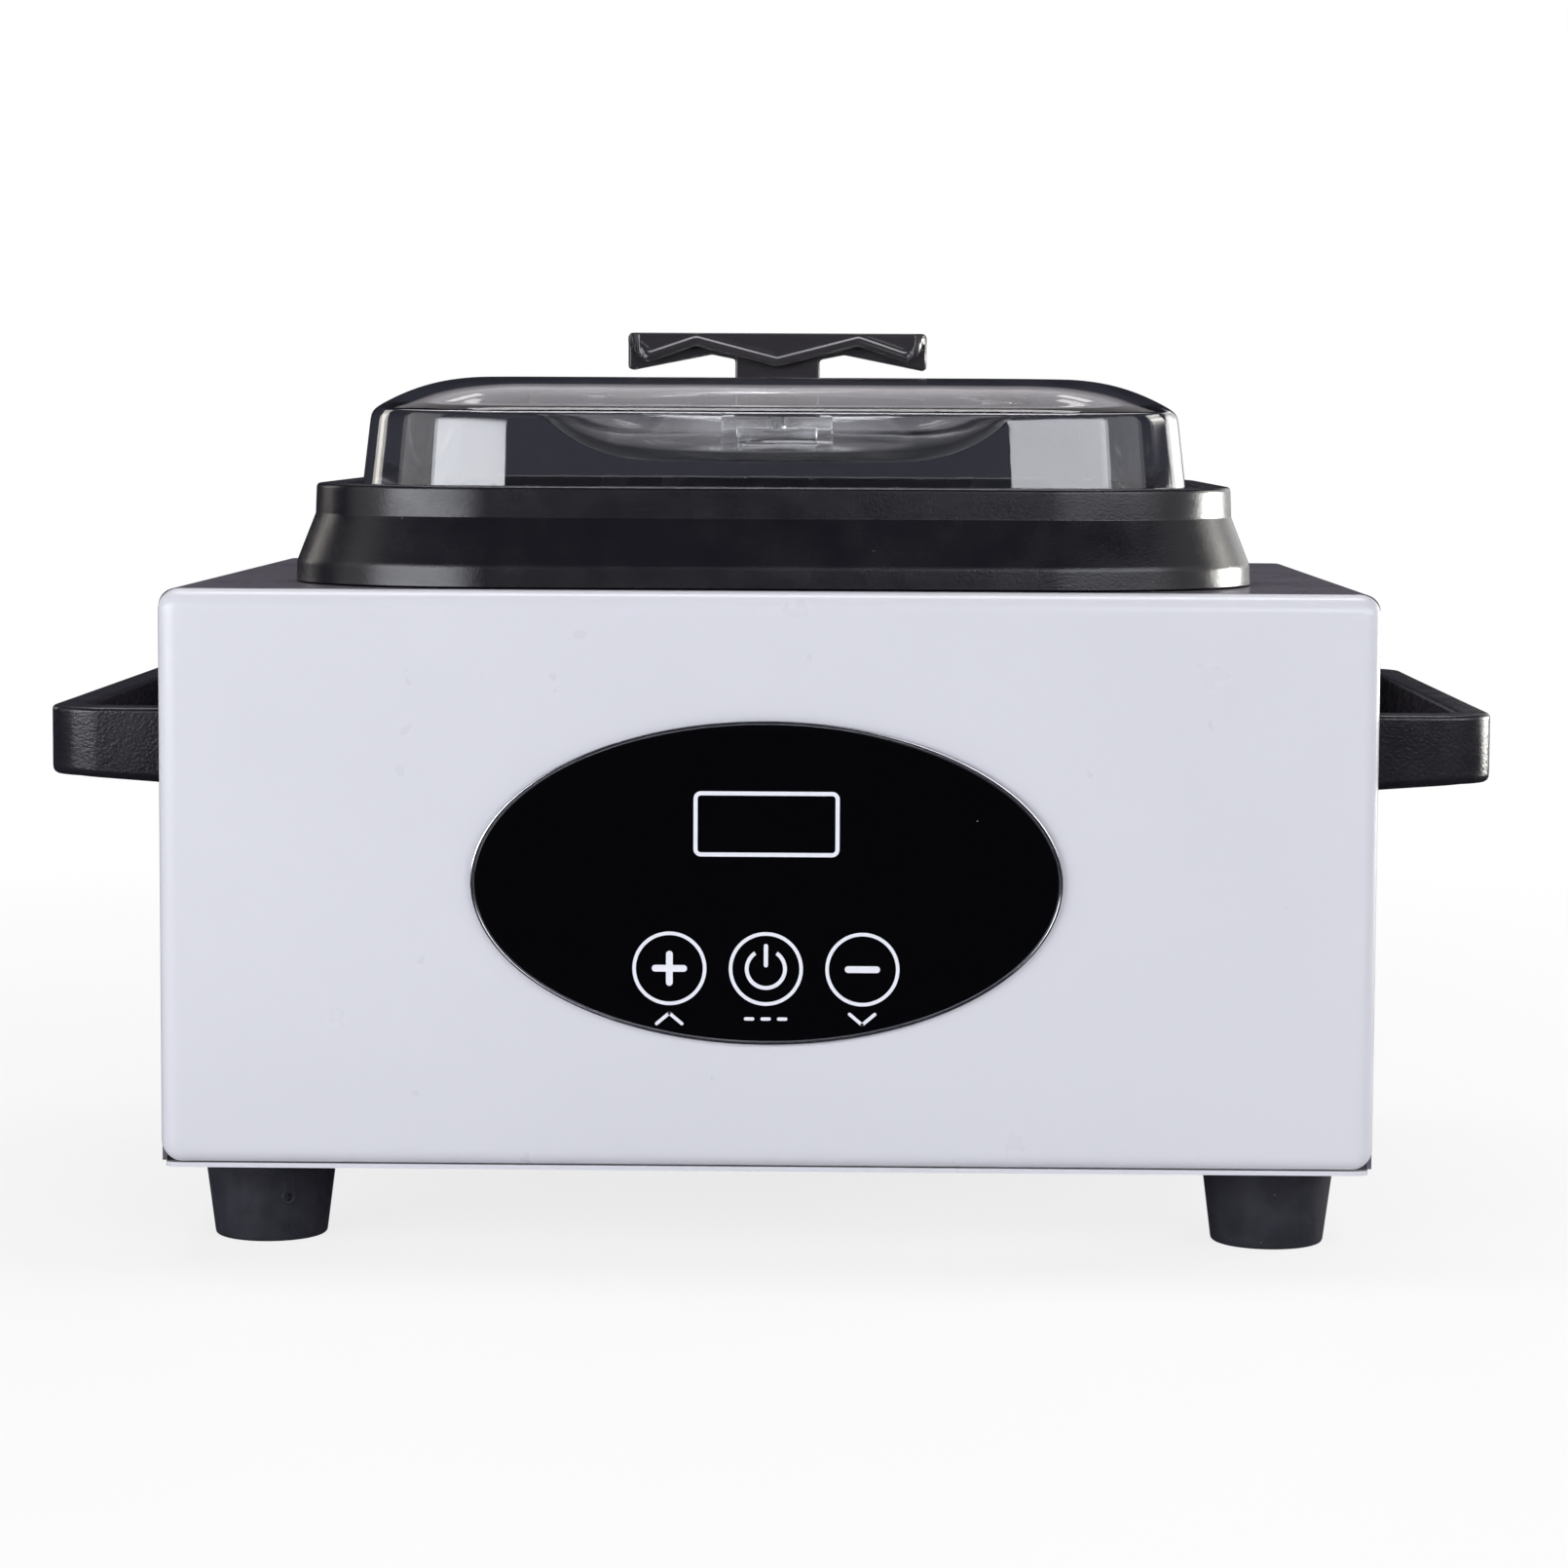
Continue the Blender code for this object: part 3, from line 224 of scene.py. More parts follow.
def rounded_ring(half_x, half_y, radius, z, corner_steps=16, side_steps=6):
    """Points of a rounded rectangle at height z, anticlockwise, starting on the +X side."""
    arcs = []
    for sx, sy, start in ((1, 1, 0), (-1, 1, 90), (-1, -1, 180), (1, -1, 270)):
        cx, cy = sx * (half_x - radius), sy * (half_y - radius)
        turns = sweep(start, 90, corner_steps)
        arcs.append([Vector((cx + radius * c, cy + radius * s, z)) for c, s in turns])
    points = []
    for arc, following in zip(arcs, arcs[1:] + arcs[:1]):
        points += arc
        points += [arc[-1].lerp(following[0], i / side_steps) for i in range(1, side_steps)]
    return points


def collar_ring(inset, z, corner=COLLAR_CORNER, **steps):
    """A rounded rectangle inset from the collar's outer foot."""
    corner = max(corner - inset, SMALLEST_CORNER)
    return rounded_ring(COLLAR.high.x - inset, COLLAR.high.y - inset, corner, z, **steps)


def oval_ring(half_x, half_y, z, count, first=0):
    """Points of an oval at height z, turned so that the point numbered first lies on +X."""
    ring = []
    for i in range(count):
        angle = 2 * math.pi * (i - first) / count
        ring.append(Vector((half_x * math.cos(angle), half_y * math.sin(angle), z)))
    return ring


def loft(rings, closed=False):
    """A closed body through rings of equal length: capped at both ends, or joined end to end."""
    bm = bmesh.new()
    rows = [[bm.verts.new(point) for point in ring] for ring in rings]
    count = len(rows[0])
    spans = list(zip(rows, rows[1:]))
    if closed:
        spans.append((rows[-1], rows[0]))
    for low, high in spans:
        for i in range(count):
            j = (i + 1) % count
            bm.faces.new((low[i], low[j], high[j], high[i]))
    if not closed:
        bm.faces.new(list(reversed(rows[0])))
        bm.faces.new(rows[-1])
    bmesh.ops.recalc_face_normals(bm, faces=bm.faces)
    return bm


def filleted(corners, steps=5, closed=True):
    """A profile from corners of (a, b, radius), each rounded to its radius."""
    points = []
    count = len(corners)
    for i, (a, b, radius) in enumerate(corners):
        here = Vector((a, b))
        ends = not closed and i in (0, count - 1)
        if radius == 0 or ends:
            points.append(here)
            continue
        before = Vector(corners[i - 1][:2]) - here
        after = Vector(corners[(i + 1) % count][:2]) - here
        half = before.angle(after) / 2
        reach = min(radius / math.tan(half), before.length * 0.48, after.length * 0.48)
        start, end = here + before.normalized() * reach, here + after.normalized() * reach
        for step in range(steps + 1):
            t = step / steps
            points.append(start * (1 - t) ** 2 + here * 2 * t * (1 - t) + end * t * t)
    return points


def block(size, centre, bevel=0.0, segments=3):
    """A box, with rounded edges where a bevel is given."""
    bm = bmesh.new()
    bmesh.ops.create_cube(bm, size=1.0)
    bmesh.ops.scale(bm, vec=Vector(size), verts=bm.verts)
    if bevel:
        bmesh.ops.bevel(
            bm, geom=bm.edges, offset=bevel, segments=segments, profile=0.5, affect="EDGES",
        )
    bmesh.ops.translate(bm, vec=Vector(centre), verts=bm.verts)
    return bm


ALONG_Y = Matrix.Rotation(math.pi / 2, 4, "X")


def rod(radius, depth, centre, turn=Matrix(), sides=32):
    """A round bar along Z, or turned."""
    bm = bmesh.new()
    bmesh.ops.create_cone(
        bm, cap_ends=True, segments=sides, radius1=radius, radius2=radius, depth=depth,
        matrix=Matrix.Translation(centre) @ turn,
    )
    return bm


def gather(shapes):
    """Several shapes as one."""
    whole = bmesh.new()
    for shape in shapes:
        mesh = bpy.data.meshes.new("shape")
        shape.to_mesh(mesh)
        shape.free()
        whole.from_mesh(mesh)
        bpy.data.meshes.remove(mesh)
    return whole


def spun(profile, count):
    """A closed turned body from a closed profile of (radius, height)."""
    bm = bmesh.new()
    columns = []
    for i in range(count):
        angle = 2 * math.pi * i / count
        columns.append([
            bm.verts.new((radius * math.cos(angle), radius * math.sin(angle), height))
            for radius, height in profile
        ])
    for one, two in zip(columns, columns[1:] + columns[:1]):
        for k in range(len(profile)):
            m = (k + 1) % len(profile)
            if profile[k][0] < 1e-7 and profile[m][0] < 1e-7:
                continue
            bm.faces.new((one[k], two[k], two[m], one[m]))
    bmesh.ops.remove_doubles(bm, verts=bm.verts, dist=1e-7)
    bmesh.ops.dissolve_degenerate(bm, edges=bm.edges, dist=1e-8)
    bmesh.ops.recalc_face_normals(bm, faces=bm.faces)
    return bm


def placement(place, turn, axes="XYZ"):
    """The matrix of a place and of three turns in degrees about those axes."""
    matrix = Matrix.Translation(place)
    for angle, axis in zip(turn, axes):
        matrix = matrix @ Matrix.Rotation(math.radians(angle), 4, axis)
    return matrix


def moved(bm, place, turn=(0, 0, 0)):
    bmesh.ops.transform(bm, matrix=placement(place, turn), verts=bm.verts)
    return bm


# ---- materials

def add_node(tree, kind, **inputs):
    """A shader node whose inputs are set or linked, each named with _ for a space."""
    node = tree.nodes.new("ShaderNode" + kind)
    for name, value in inputs.items():
        socket = node.inputs[name.replace("_", " ")]
        if isinstance(value, bpy.types.NodeSocket):
            tree.links.new(value, socket)
        else:
            socket.default_value = value
    return node


class Look:
    """A Principled material, with short calls for nodes that vary it over the object's space."""

    def __init__(self, name, colour, roughness, metallic=0.0, **sockets):
        self.material = bpy.data.materials.new(name)
        self.material.use_nodes = True
        self.tree = self.material.node_tree
        self.shader = self.tree.nodes["Principled BSDF"]
        self.base = colour
        sockets.update(Base_Color=(*colour, 1.0), Roughness=roughness, Metallic=metallic)
        for socket, value in sockets.items():
            self.shader.inputs[socket.replace("_", " ")].default_value = value
        self.space = add_node(self.tree, "TexCoord").outputs["Object"]
        self.normal = None

    def feed(self, socket, output):
        self.tree.links.new(output, self.shader.inputs[socket])

    def tint(self, factor, one, two):
        """Varies the colour between one and two."""
        self.feed("Base Color", self.blend(factor, one, two))

    def gloss(self, feature, detail, low, high):
        """Varies the roughness from low to high over clouds of that size."""
        self.feed("Roughness", self.cloud(feature, detail, low, high))

    def stretched(self, scale):
        return add_node(self.tree, "Mapping", Scale=scale, Vector=self.space).outputs["Vector"]

    def noise(self, feature, detail=2.0, space=None, roughness=0.5):
        """Noise whose features are about that many metres across."""
        return add_node(
            self.tree, "TexNoise", Scale=1 / feature, Detail=detail, Roughness=roughness,
            Vector=space or self.space,
        ).outputs["Fac"]

    def cells(self, feature, kind="F1"):
        """A cell pattern whose cells are about that many metres across."""
        node = add_node(self.tree, "TexVoronoi", Scale=1 / feature, Vector=self.space)
        node.feature = kind
        return node.outputs

    def ramp(self, value, low, high, low_value=0.0, high_value=1.0):
        """Takes the range low to high to the range low_value to high_value, clamped."""
        return add_node(
            self.tree, "MapRange", From_Min=low, From_Max=high, To_Min=low_value,
            To_Max=high_value, Value=value,
        ).outputs["Result"]

    def cloud(self, feature, detail, low_value=0.0, high_value=1.0):
        """Soft noise spread over the whole range of values."""
        return self.ramp(self.noise(feature, detail), 0.3, 0.7, low_value, high_value)

    def times(self, one, two):
        node = add_node(self.tree, "Math")
        node.operation = "MULTIPLY"
        self.tree.links.new(one, node.inputs[0])
        self.tree.links.new(two, node.inputs[1])
        return node.outputs["Value"]

    def blend(self, factor, one, two):
        """A colour between one and two; each is a colour or an output."""
        node = add_node(self.tree, "Mix")
        node.data_type = "RGBA"
        self.tree.links.new(factor, node.inputs["Factor"])
        for value, socket in ((one, node.inputs["A"]), (two, node.inputs["B"])):
            if isinstance(value, tuple):
                socket.default_value = (*value, 1.0)
            else:
                self.tree.links.new(value, socket)
        return node.outputs["Result"]

    def split(self, colour):
        return add_node(self.tree, "SeparateColor", Color=colour).outputs

    def specks(self, feature, size, share):
        """1 on small dots, one per cell of that feature size, kept in that share of the cells."""
        cells = self.cells(feature)
        dot = self.ramp(cells["Distance"], size, size * 0.6)
        kept = self.ramp(self.split(cells["Color"])["Red"], 1 - share, 1 - share + 0.01)
        return self.times(dot, kept)

    def bump(self, height, depth):
        """Adds relief of that depth in metres."""
        node = add_node(self.tree, "Bump", Distance=depth, Strength=1.0, Height=height)
        if self.normal:
            self.tree.links.new(self.normal, node.inputs["Normal"])
        self.normal = node.outputs["Normal"]

    def done(self):
        if self.normal:
            self.feed("Normal", self.normal)
        return self.material


def shade(colour, amount):
    return tuple(c * amount for c in colour)


def enamel_white():
    look = Look("enamel_white", (0.615, 0.617, 0.646), 0.30, Coat_Weight=0.20, Coat_Roughness=0.14)
    cloud = look.cloud(0.11, 2.0)
    look.tint(cloud, shade(look.base, 0.985), shade(look.base, 1.012))
    look.gloss(0.02, 3.0, 0.27, 0.34)
    look.bump(look.noise(0.0016, 1.0), 0.000007)
    return look.done()


def enamel_dark():
    look = Look("enamel_dark", (0.105, 0.094, 0.113), 0.30, Coat_Weight=0.25, Coat_Roughness=0.12)
    cloud = look.cloud(0.06, 3.0)
    tone = look.blend(cloud, shade(look.base, 0.85), shade(look.base, 1.2))
    sand = look.ramp(look.noise(0.0016, 3.0, roughness=0.7), 0.40, 0.72)
    look.tint(sand, tone, shade(look.base, 1.75))
    look.gloss(0.015, 4.0, 0.25, 0.38)
    look.bump(look.noise(0.0011, 2.0), 0.000016)
    return look.done()


def moulded_black(name, grain, depth, roughness, colour=(0.0062, 0.0058, 0.0082)):
    """Black plastic with a moulded grain, dust specks and small pits, which are darkened with
    painted shade.
    """
    look = Look(name, colour, roughness)
    cloud = look.cloud(0.035, 3.0)
    tone = look.blend(cloud, shade(colour, 0.88), shade(colour, 1.15))
    dust = look.specks(0.0062, 0.040, 0.22)
    tone = look.blend(dust, tone, (0.30, 0.29, 0.30))
    # small pits: real dents through the bump below, and their colour darkened as painted shade in
    # them
    pits_and_painted_shade = look.specks(0.014, 0.036, 0.30)
    look.tint(pits_and_painted_shade, tone, (0.002, 0.002, 0.002))
    look.gloss(0.012, 3.0, roughness - 0.05, roughness + 0.06)
    look.bump(look.noise(grain, 2.0, roughness=0.6), depth)
    look.bump(look.noise(0.011, 2.0), 0.00005)
    look.bump(pits_and_painted_shade, -0.00008)
    return look.done()


def panel_black():
    look = Look("panel_black", (0.0008, 0.0008, 0.0012), 0.035, Specular_IOR_Level=0.42)
    smear = look.noise(0.03, 3.0, look.stretched((1.0, 1.0, 2.4)))
    look.feed("Roughness", look.ramp(smear, 0.42, 0.75, 0.03, 0.09))
    dust = look.specks(0.011, 0.018, 0.30)
    look.tint(dust, look.base, (0.20, 0.20, 0.21))
    look.bump(look.noise(0.02, 1.0), 0.000008)
    return look.done()


def satin_black():
    look = Look("satin_black", (0.034, 0.031, 0.034), 0.17)
    look.gloss(0.006, 3.0, 0.14, 0.20)
    dust = look.specks(0.0045, 0.040, 0.20)
    look.tint(dust, look.base, (0.22, 0.22, 0.23))
    look.bump(look.noise(0.0009, 1.0), 0.000005)
    return look.done()


def clear_plastic():
    look = Look("clear_plastic", (0.965, 0.970, 0.980), 0.018, Transmission_Weight=1.0, IOR=1.58)
    haze = look.cloud(0.03, 3.0)
    look.tint(haze, shade(look.base, 0.985), (0.975, 0.98, 0.985))
    look.bump(look.noise(0.022, 1.5), 0.00005)
    look.bump(look.noise(0.0009, 1.0, look.stretched((1.0, 1.0, 0.25))), 0.0000012)
    return look.done()


def galvanised():
    look = Look("galvanised", (0.55, 0.56, 0.58), 0.36, 1.0)
    flakes = look.split(look.cells(0.006)["Color"])
    look.tint(flakes["Green"], (0.46, 0.47, 0.49), (0.63, 0.64, 0.66))
    look.feed("Roughness", look.ramp(flakes["Red"], 0.0, 1.0, 0.28, 0.46))
    look.bump(look.noise(0.0008, 2.0), 0.00001)
    return look.done()


def plated_steel():
    look = Look("plated_steel", (0.60, 0.60, 0.60), 0.28, 1.0)
    look.gloss(0.0015, 3.0, 0.20, 0.38)
    cloud = look.noise(0.002, 2.0)
    look.tint(cloud, (0.50, 0.50, 0.51), (0.68, 0.68, 0.67))
    look.bump(look.noise(0.0002, 1.0), 0.000006)
    return look.done()


def bright_ring():
    look = Look("bright_ring", (0.60, 0.60, 0.63), 0.12, 1.0)
    look.gloss(0.003, 3.0, 0.09, 0.17)
    cloud = look.noise(0.004, 2.0)
    look.tint(cloud, (0.50, 0.50, 0.54), (0.66, 0.66, 0.69))
    return look.done()


def tank_aluminium():
    """Anodised aluminium with fine drawing lines round the walls."""
    look = Look("tank_aluminium", (0.56, 0.565, 0.58), 0.34, 1.0)
    lines = look.noise(0.0012, 3.0, look.stretched((0.06, 0.06, 1.0)))
    cloud = look.cloud(0.03, 3.0)
    look.tint(cloud, (0.50, 0.505, 0.52), (0.61, 0.615, 0.625))
    look.feed("Roughness", look.ramp(lines, 0.3, 0.7, 0.28, 0.42))
    look.bump(lines, 0.000012)
    return look.done()


def grained(name, colour, roughness, grain=0.0005, depth=0.00002, metallic=0.0, spread=0.15):
    """Plain parts: a fine grain with some variation of tone and gloss."""
    look = Look(name, colour, roughness, metallic)
    cloud = look.cloud(grain * 18, 3.0)
    look.tint(cloud, shade(colour, 1 - spread), shade(colour, 1 + spread))
    look.gloss(grain * 9, 2.0, roughness * 0.86, roughness * 1.12)
    look.bump(look.noise(grain, 2.0), depth)
    return look.done()


def circuit_board():
    look = Look("circuit_board", (0.02, 0.16, 0.07), 0.38)
    tracks = look.ramp(look.cells(0.0045, "DISTANCE_TO_EDGE")["Distance"], 0.06, 0.09)
    pads = look.specks(0.0030, 0.24, 0.5)
    tone = look.blend(tracks, (0.035, 0.24, 0.10), (0.016, 0.13, 0.055))
    look.tint(pads, tone, (0.62, 0.60, 0.50))
    look.bump(tracks, -0.00003)
    return look.done()


def rubber():
    look = Look("rubber", (0.022, 0.022, 0.030), 0.42)
    cloud = look.ramp(look.noise(0.007, 4.0), 0.35, 0.7)
    tone = look.blend(cloud, (0.019, 0.019, 0.026), (0.031, 0.031, 0.040))
    dust = look.specks(0.0035, 0.05, 0.25)
    look.tint(dust, tone, (0.20, 0.20, 0.21))
    look.gloss(0.003, 3.0, 0.36, 0.50)
    look.bump(look.noise(0.0012, 3.0), 0.00004)
    return look.done()


def felt():
    look = Look("felt", (0.62, 0.60, 0.54), 0.95, Sheen_Weight=0.4)
    fibres = look.noise(0.0006, 4.0, look.stretched((1.0, 1.0, 3.0)))
    look.tint(fibres, (0.48, 0.46, 0.41), (0.72, 0.70, 0.64))
    look.bump(fibres, 0.0004)
    return look.done()


def printed_white():
    look = Look("printed_white", (0.74, 0.75, 0.79), 0.45)
    grain = look.noise(0.0004, 2.0)
    look.tint(grain, (0.66, 0.67, 0.71), (0.80, 0.81, 0.84))
    look.bump(grain, 0.000006)
    return look.done()


LOOKS = {
    "white_paint": enamel_white(),
    "black_paint": enamel_dark(),
    "bare_steel": galvanised(),
    "black_plastic": moulded_black("collar_plastic", 0.00050, 0.000055, 0.24),
    "gloss_black": panel_black(),
    "clear_plastic": clear_plastic(),
    "tank_aluminium": tank_aluminium(),
    "silicone": grained("silicone", (0.60, 0.20, 0.12), 0.60),
    "felt": felt(),
    "mica": grained("mica", (0.55, 0.48, 0.36), 0.50, 0.0012, 0.00004, spread=0.3),
    "trim_silver": bright_ring(),
    "circuit_green": circuit_board(),
    "module_black": grained("module_black", (0.030, 0.030, 0.032), 0.55),
    "relay_blue": grained("relay_blue", (0.03, 0.10, 0.35), 0.40),
    "terminal_green": grained("terminal_green", (0.05, 0.35, 0.15), 0.50),
    "screw_steel": plated_steel(),
    "foot_rubber": rubber(),
    "lead_red": grained("lead_red", (0.45, 0.03, 0.03), 0.50),
    "lead_white": grained("lead_white", (0.75, 0.75, 0.72), 0.50),
    "brass": grained("brass", (0.70, 0.52, 0.22), 0.30, metallic=1.0),
}
PRINT = printed_white()
HANDLE_PLASTIC = moulded_black("handle_plastic", 0.0008, 0.00008, 0.26, (0.009, 0.008, 0.011))


def dress_nodes():
    """Every CAD node that stays gets its slot's material."""
    for part in frame["record"]["subparts"]:
        mesh = frame["nodes"][part["node"]].data
        mesh.materials.clear()
        mesh.materials.append(LOOKS[part["material_slot"]])


# ---- case

def pan(half_x, half_z):
    """A folded pan facing local +Z, its face at z = 0, its flange stepped in under the cover."""
    steps = {"corner_steps": 10, "side_steps": 3}
    step_in, edge = SHEET + GAP, BEND + 0.5 * MM
    rim, flat = edge + FLANGE, BEND + 0.8 * MM
    levels = [(BEND * (1 - s), BEND * (1 - c)) for c, s in sweep(0, 90, 8)]
    levels += [
        (0.0, edge), (step_in, edge), (step_in, rim), (step_in + SHEET, rim),
        (step_in + SHEET, BEND), (step_in + SHEET + 1.3 * MM, SHEET),
    ]
    rings = [rounded_ring(half_x - flat, half_z - flat, 0.6 * MM, 0.0, **steps)]
    for inset, depth in levels:
        corner = PANEL_CORNER - inset
        rings.append(rounded_ring(half_x - inset, half_z - inset, corner, -depth, **steps))
    return loft(rings)


def front_panel():
    """White pan with a window behind the control panel."""
    bm = pan(FRONT.size.x / 2, FRONT.size.z / 2)
    panel = link("front_panel_enamel", moved(bm, (0, FRONT.low.y, FRONT.centre.z), (90, 0, 0)))
    window = block((WINDOW_WIDTH, CUT_DEPTH, WINDOW_HEIGHT), (0, FRONT.low.y, WINDOW_Z))
    combine(panel, window, "DIFFERENCE")
    install(even_shading(panel), "case", "white_paint", "front_panel")


def vent(x, z, length):
    """A slot cutter with round ends, long along Z, for the rear panel."""
    shape = rod(VENT_WIDTH / 2, CUT_DEPTH, (0, 0, 0), ALONG_Y, 24)
    for vert in shape.verts:
        vert.co.z += math.copysign((length - VENT_WIDTH) / 2, vert.co.z)
    return moved(shape, (x, REAR.high.y, z))


def rear_panel():
    """Dark pan, its face to the rear, with two rows of vents and the inlet's opening."""
    y = REAR.high.y
    bm = moved(pan(REAR.size.x / 2, REAR.size.z / 2), (0, y, REAR.centre.z), (90, 0, 0))
    bmesh.ops.scale(bm, vec=(1, -1, 1), verts=bm.verts, space=Matrix.Translation((0, -y, 0)))
    bmesh.ops.recalc_face_normals(bm, faces=bm.faces)
    panel = link("rear_panel_sheet", bm)
    inlet = Span("power_inlet").centre
    cuts = [block(INLET_CUT, (inlet.x, y, inlet.z), 1.0 * MM)]
    for first, z, length in VENT_ROWS:
        cuts += [vent(first + VENT_PITCH * i, z, length) for i in range(VENT_COUNT)]
    combine(panel, gather(cuts), "DIFFERENCE")
    install(even_shading(panel), "case", "black_paint", "rear_panel")


def case_cover():
    """Top and both sides in one folded sheet, open under the collar."""
    half, front = CASE.high.x, CASE.low.y
    outer, inner = [(-half, CASE.low.z)], [(-half + SHEET, CASE.low.z)]
    for side, start in ((-1, 180), (1, 90)):
        cx, cz = side * (half - BEND), CASE.high.z - BEND
        for c, s in sweep(start, -90, 9):
            for skin, radius in ((outer, BEND), (inner, BEND - SHEET)):
                skin.append((cx + radius * c, cz + radius * s))
    outer.append((half, CASE.low.z))
    inner.append((half - SHEET, CASE.low.z))
    rings = []
    for (ox, oz), (ix, iz) in zip(outer, inner):
        corners = ((ox, front, oz), (ox, -front, oz), (ix, -front, iz), (ix, front, iz))
        rings.append([Vector(corner) for corner in corners])
    cover = link("cover_sheet", loft(rings))
    hole = loft([collar_ring(COVER_OPENING, CASE.high.z + z) for z in (-4 * MM, 4 * MM)])
    combine(cover, hole, "DIFFERENCE")
    install(even_shading(cover), "case", "black_paint", "case_cover")


# ---- collar and tank

def collar():
    """Moulded rim: lower band, concave flare, crease, upper band, rounded top and recess."""
    foot, top, wall = COLLAR.low.z, COLLAR.high.z, 3.0 * MM
    profile = filleted([
        (0.0, foot, 0.3 * MM), (0.3 * MM, FLARE_LOW_Z, 5.0 * MM), (5.2 * MM, FLARE_TOP_Z, 0.9 * MM),
        (5.5 * MM, top, 1.3 * MM), (RECESS_INSET, top, 1.0 * MM), (RECESS_INSET, LEDGE_Z, 0.8 * MM),
        (LEDGE_INSET, LEDGE_Z, 0.4 * MM), (LEDGE_INSET, LEDGE_Z - wall, 0),
        (8.3 * MM, LEDGE_Z - wall, 0), (3.5 * MM, 0.1780, 0), (3.3 * MM, foot + wall, 0),
        (12.0 * MM, foot + wall, 0), (12.0 * MM, foot, 0),
    ])
    rings = [collar_ring(inset, z, corner_steps=24, side_steps=8) for inset, z in profile]
    rim = link("collar_moulding", loft(rings, closed=True), 40)
    install(even_shading(rim), "case", "black_plastic", "collar")


def wax_tank():
    """Drawn tank with a rolled lip, tapered walls and a wide floor radius."""
    tank = Span("wax_tank")
    wall, bend, floor = 1.5 * MM, 10.0 * MM, 0.0750
    lip, taper, flange_z = 22.6 * MM, 5.4 * MM, tank.high.z - 1.5 * MM
    flange = COLLAR.high.x - tank.high.x
    inside, outside = [], []
    for skin, thick in ((outside, 0.0), (inside, wall)):
        radius = bend - thick
        for c, s in sweep(0, 90, 8):
            run, rise = radius * (1 - s), radius * (1 - c)
            skin.append(collar_ring(lip + taper + thick + run, floor + thick + rise))
    roll = 1.2 * MM
    for c, s in sweep(0, 90, 5):
        inset = lip + wall - roll * (1 - c)
        inside.append(collar_ring(inset, flange_z + wall - roll + roll * s))
    inside.append(collar_ring(flange, flange_z + wall))
    outside += [collar_ring(lip, flange_z), collar_ring(flange, flange_z)]
    body = link("tank_drawn", loft(inside + outside[::-1]))
    stud_top = floor + wall / 2
    stud = rod(2.5 * MM, stud_top - tank.low.z, (0, 0, (stud_top + tank.low.z) / 2))
    combine(body, stud, "UNION")
    install(even_shading(body), "case", "tank_aluminium", "wax_tank")


# ---- lid

def lid_side_rings(wall, steps):
    """The wall and the shoulder of one skin of the lid, from its base to the dish's rim."""
    base_inset = COLLAR.high.x - LID.high.x
    knee_z = LID.low.z + LID_KNEE_RISE
    knee = base_inset + LID_DRAFT * LID_KNEE_RISE
    rings = []
    for share in (0.0, 0.06, 0.5, 0.86, 0.97):
        z = LID.low.z + (knee_z - LID.low.z) * share
        inset = base_inset + (knee - base_inset) * share + wall
        rings.append(collar_ring(inset, z, LID_CORNER, **steps))
    curve, levels = 2.4, (0.035, 0.12, 0.28, 0.46, 0.64, 0.82, 0.95)
    for share in levels:
        rise = 1 - (1 - share) ** curve
        inset = knee + wall * (1 - share) + LID_SHOULDER * share
        z = knee_z + (LID.high.z - knee_z) * rise - wall * (0.5 + 0.5 * rise)
        rings.append(collar_ring(inset, z, LID_CORNER, **steps))
    return rings


def lid_dish_rings(wall, count, first):
    """The oval dish of one skin, from its rolled rim down to its floor."""
    widest = DISH_HALF_WIDTH - DISH_FLOOR_HALF_WIDTH
    depth = LID.high.z - DISH_FLOOR_Z - LID_WALL
    sag = DISH_ARC - math.sqrt(DISH_ARC**2 - widest**2)
    rings = []
    for share in (1.0, 0.955, 0.86, 0.68, 0.50, 0.32, 0.16, 0.04):
        run = widest * share
        slope = run / DISH_ARC
        drop = (DISH_ARC - math.sqrt(DISH_ARC**2 - run**2)) * depth / sag
        reach = DISH_FLOOR_HALF_WIDTH + run + wall * slope
        z = DISH_FLOOR_Z + LID_WALL + drop - wall * math.sqrt(1 - slope**2)
        if share == 1.0:
            z = LID.high.z - wall
        rings.append(oval_ring(reach, reach * DISH_ROUND, z, count, first))
    for share in (0.8, 0.4, 0.1):
        reach = DISH_FLOOR_HALF_WIDTH * share
        z = DISH_FLOOR_Z + LID_WALL - wall
        rings.append(oval_ring(reach, reach * DISH_ROUND, z, count, first))
    return rings


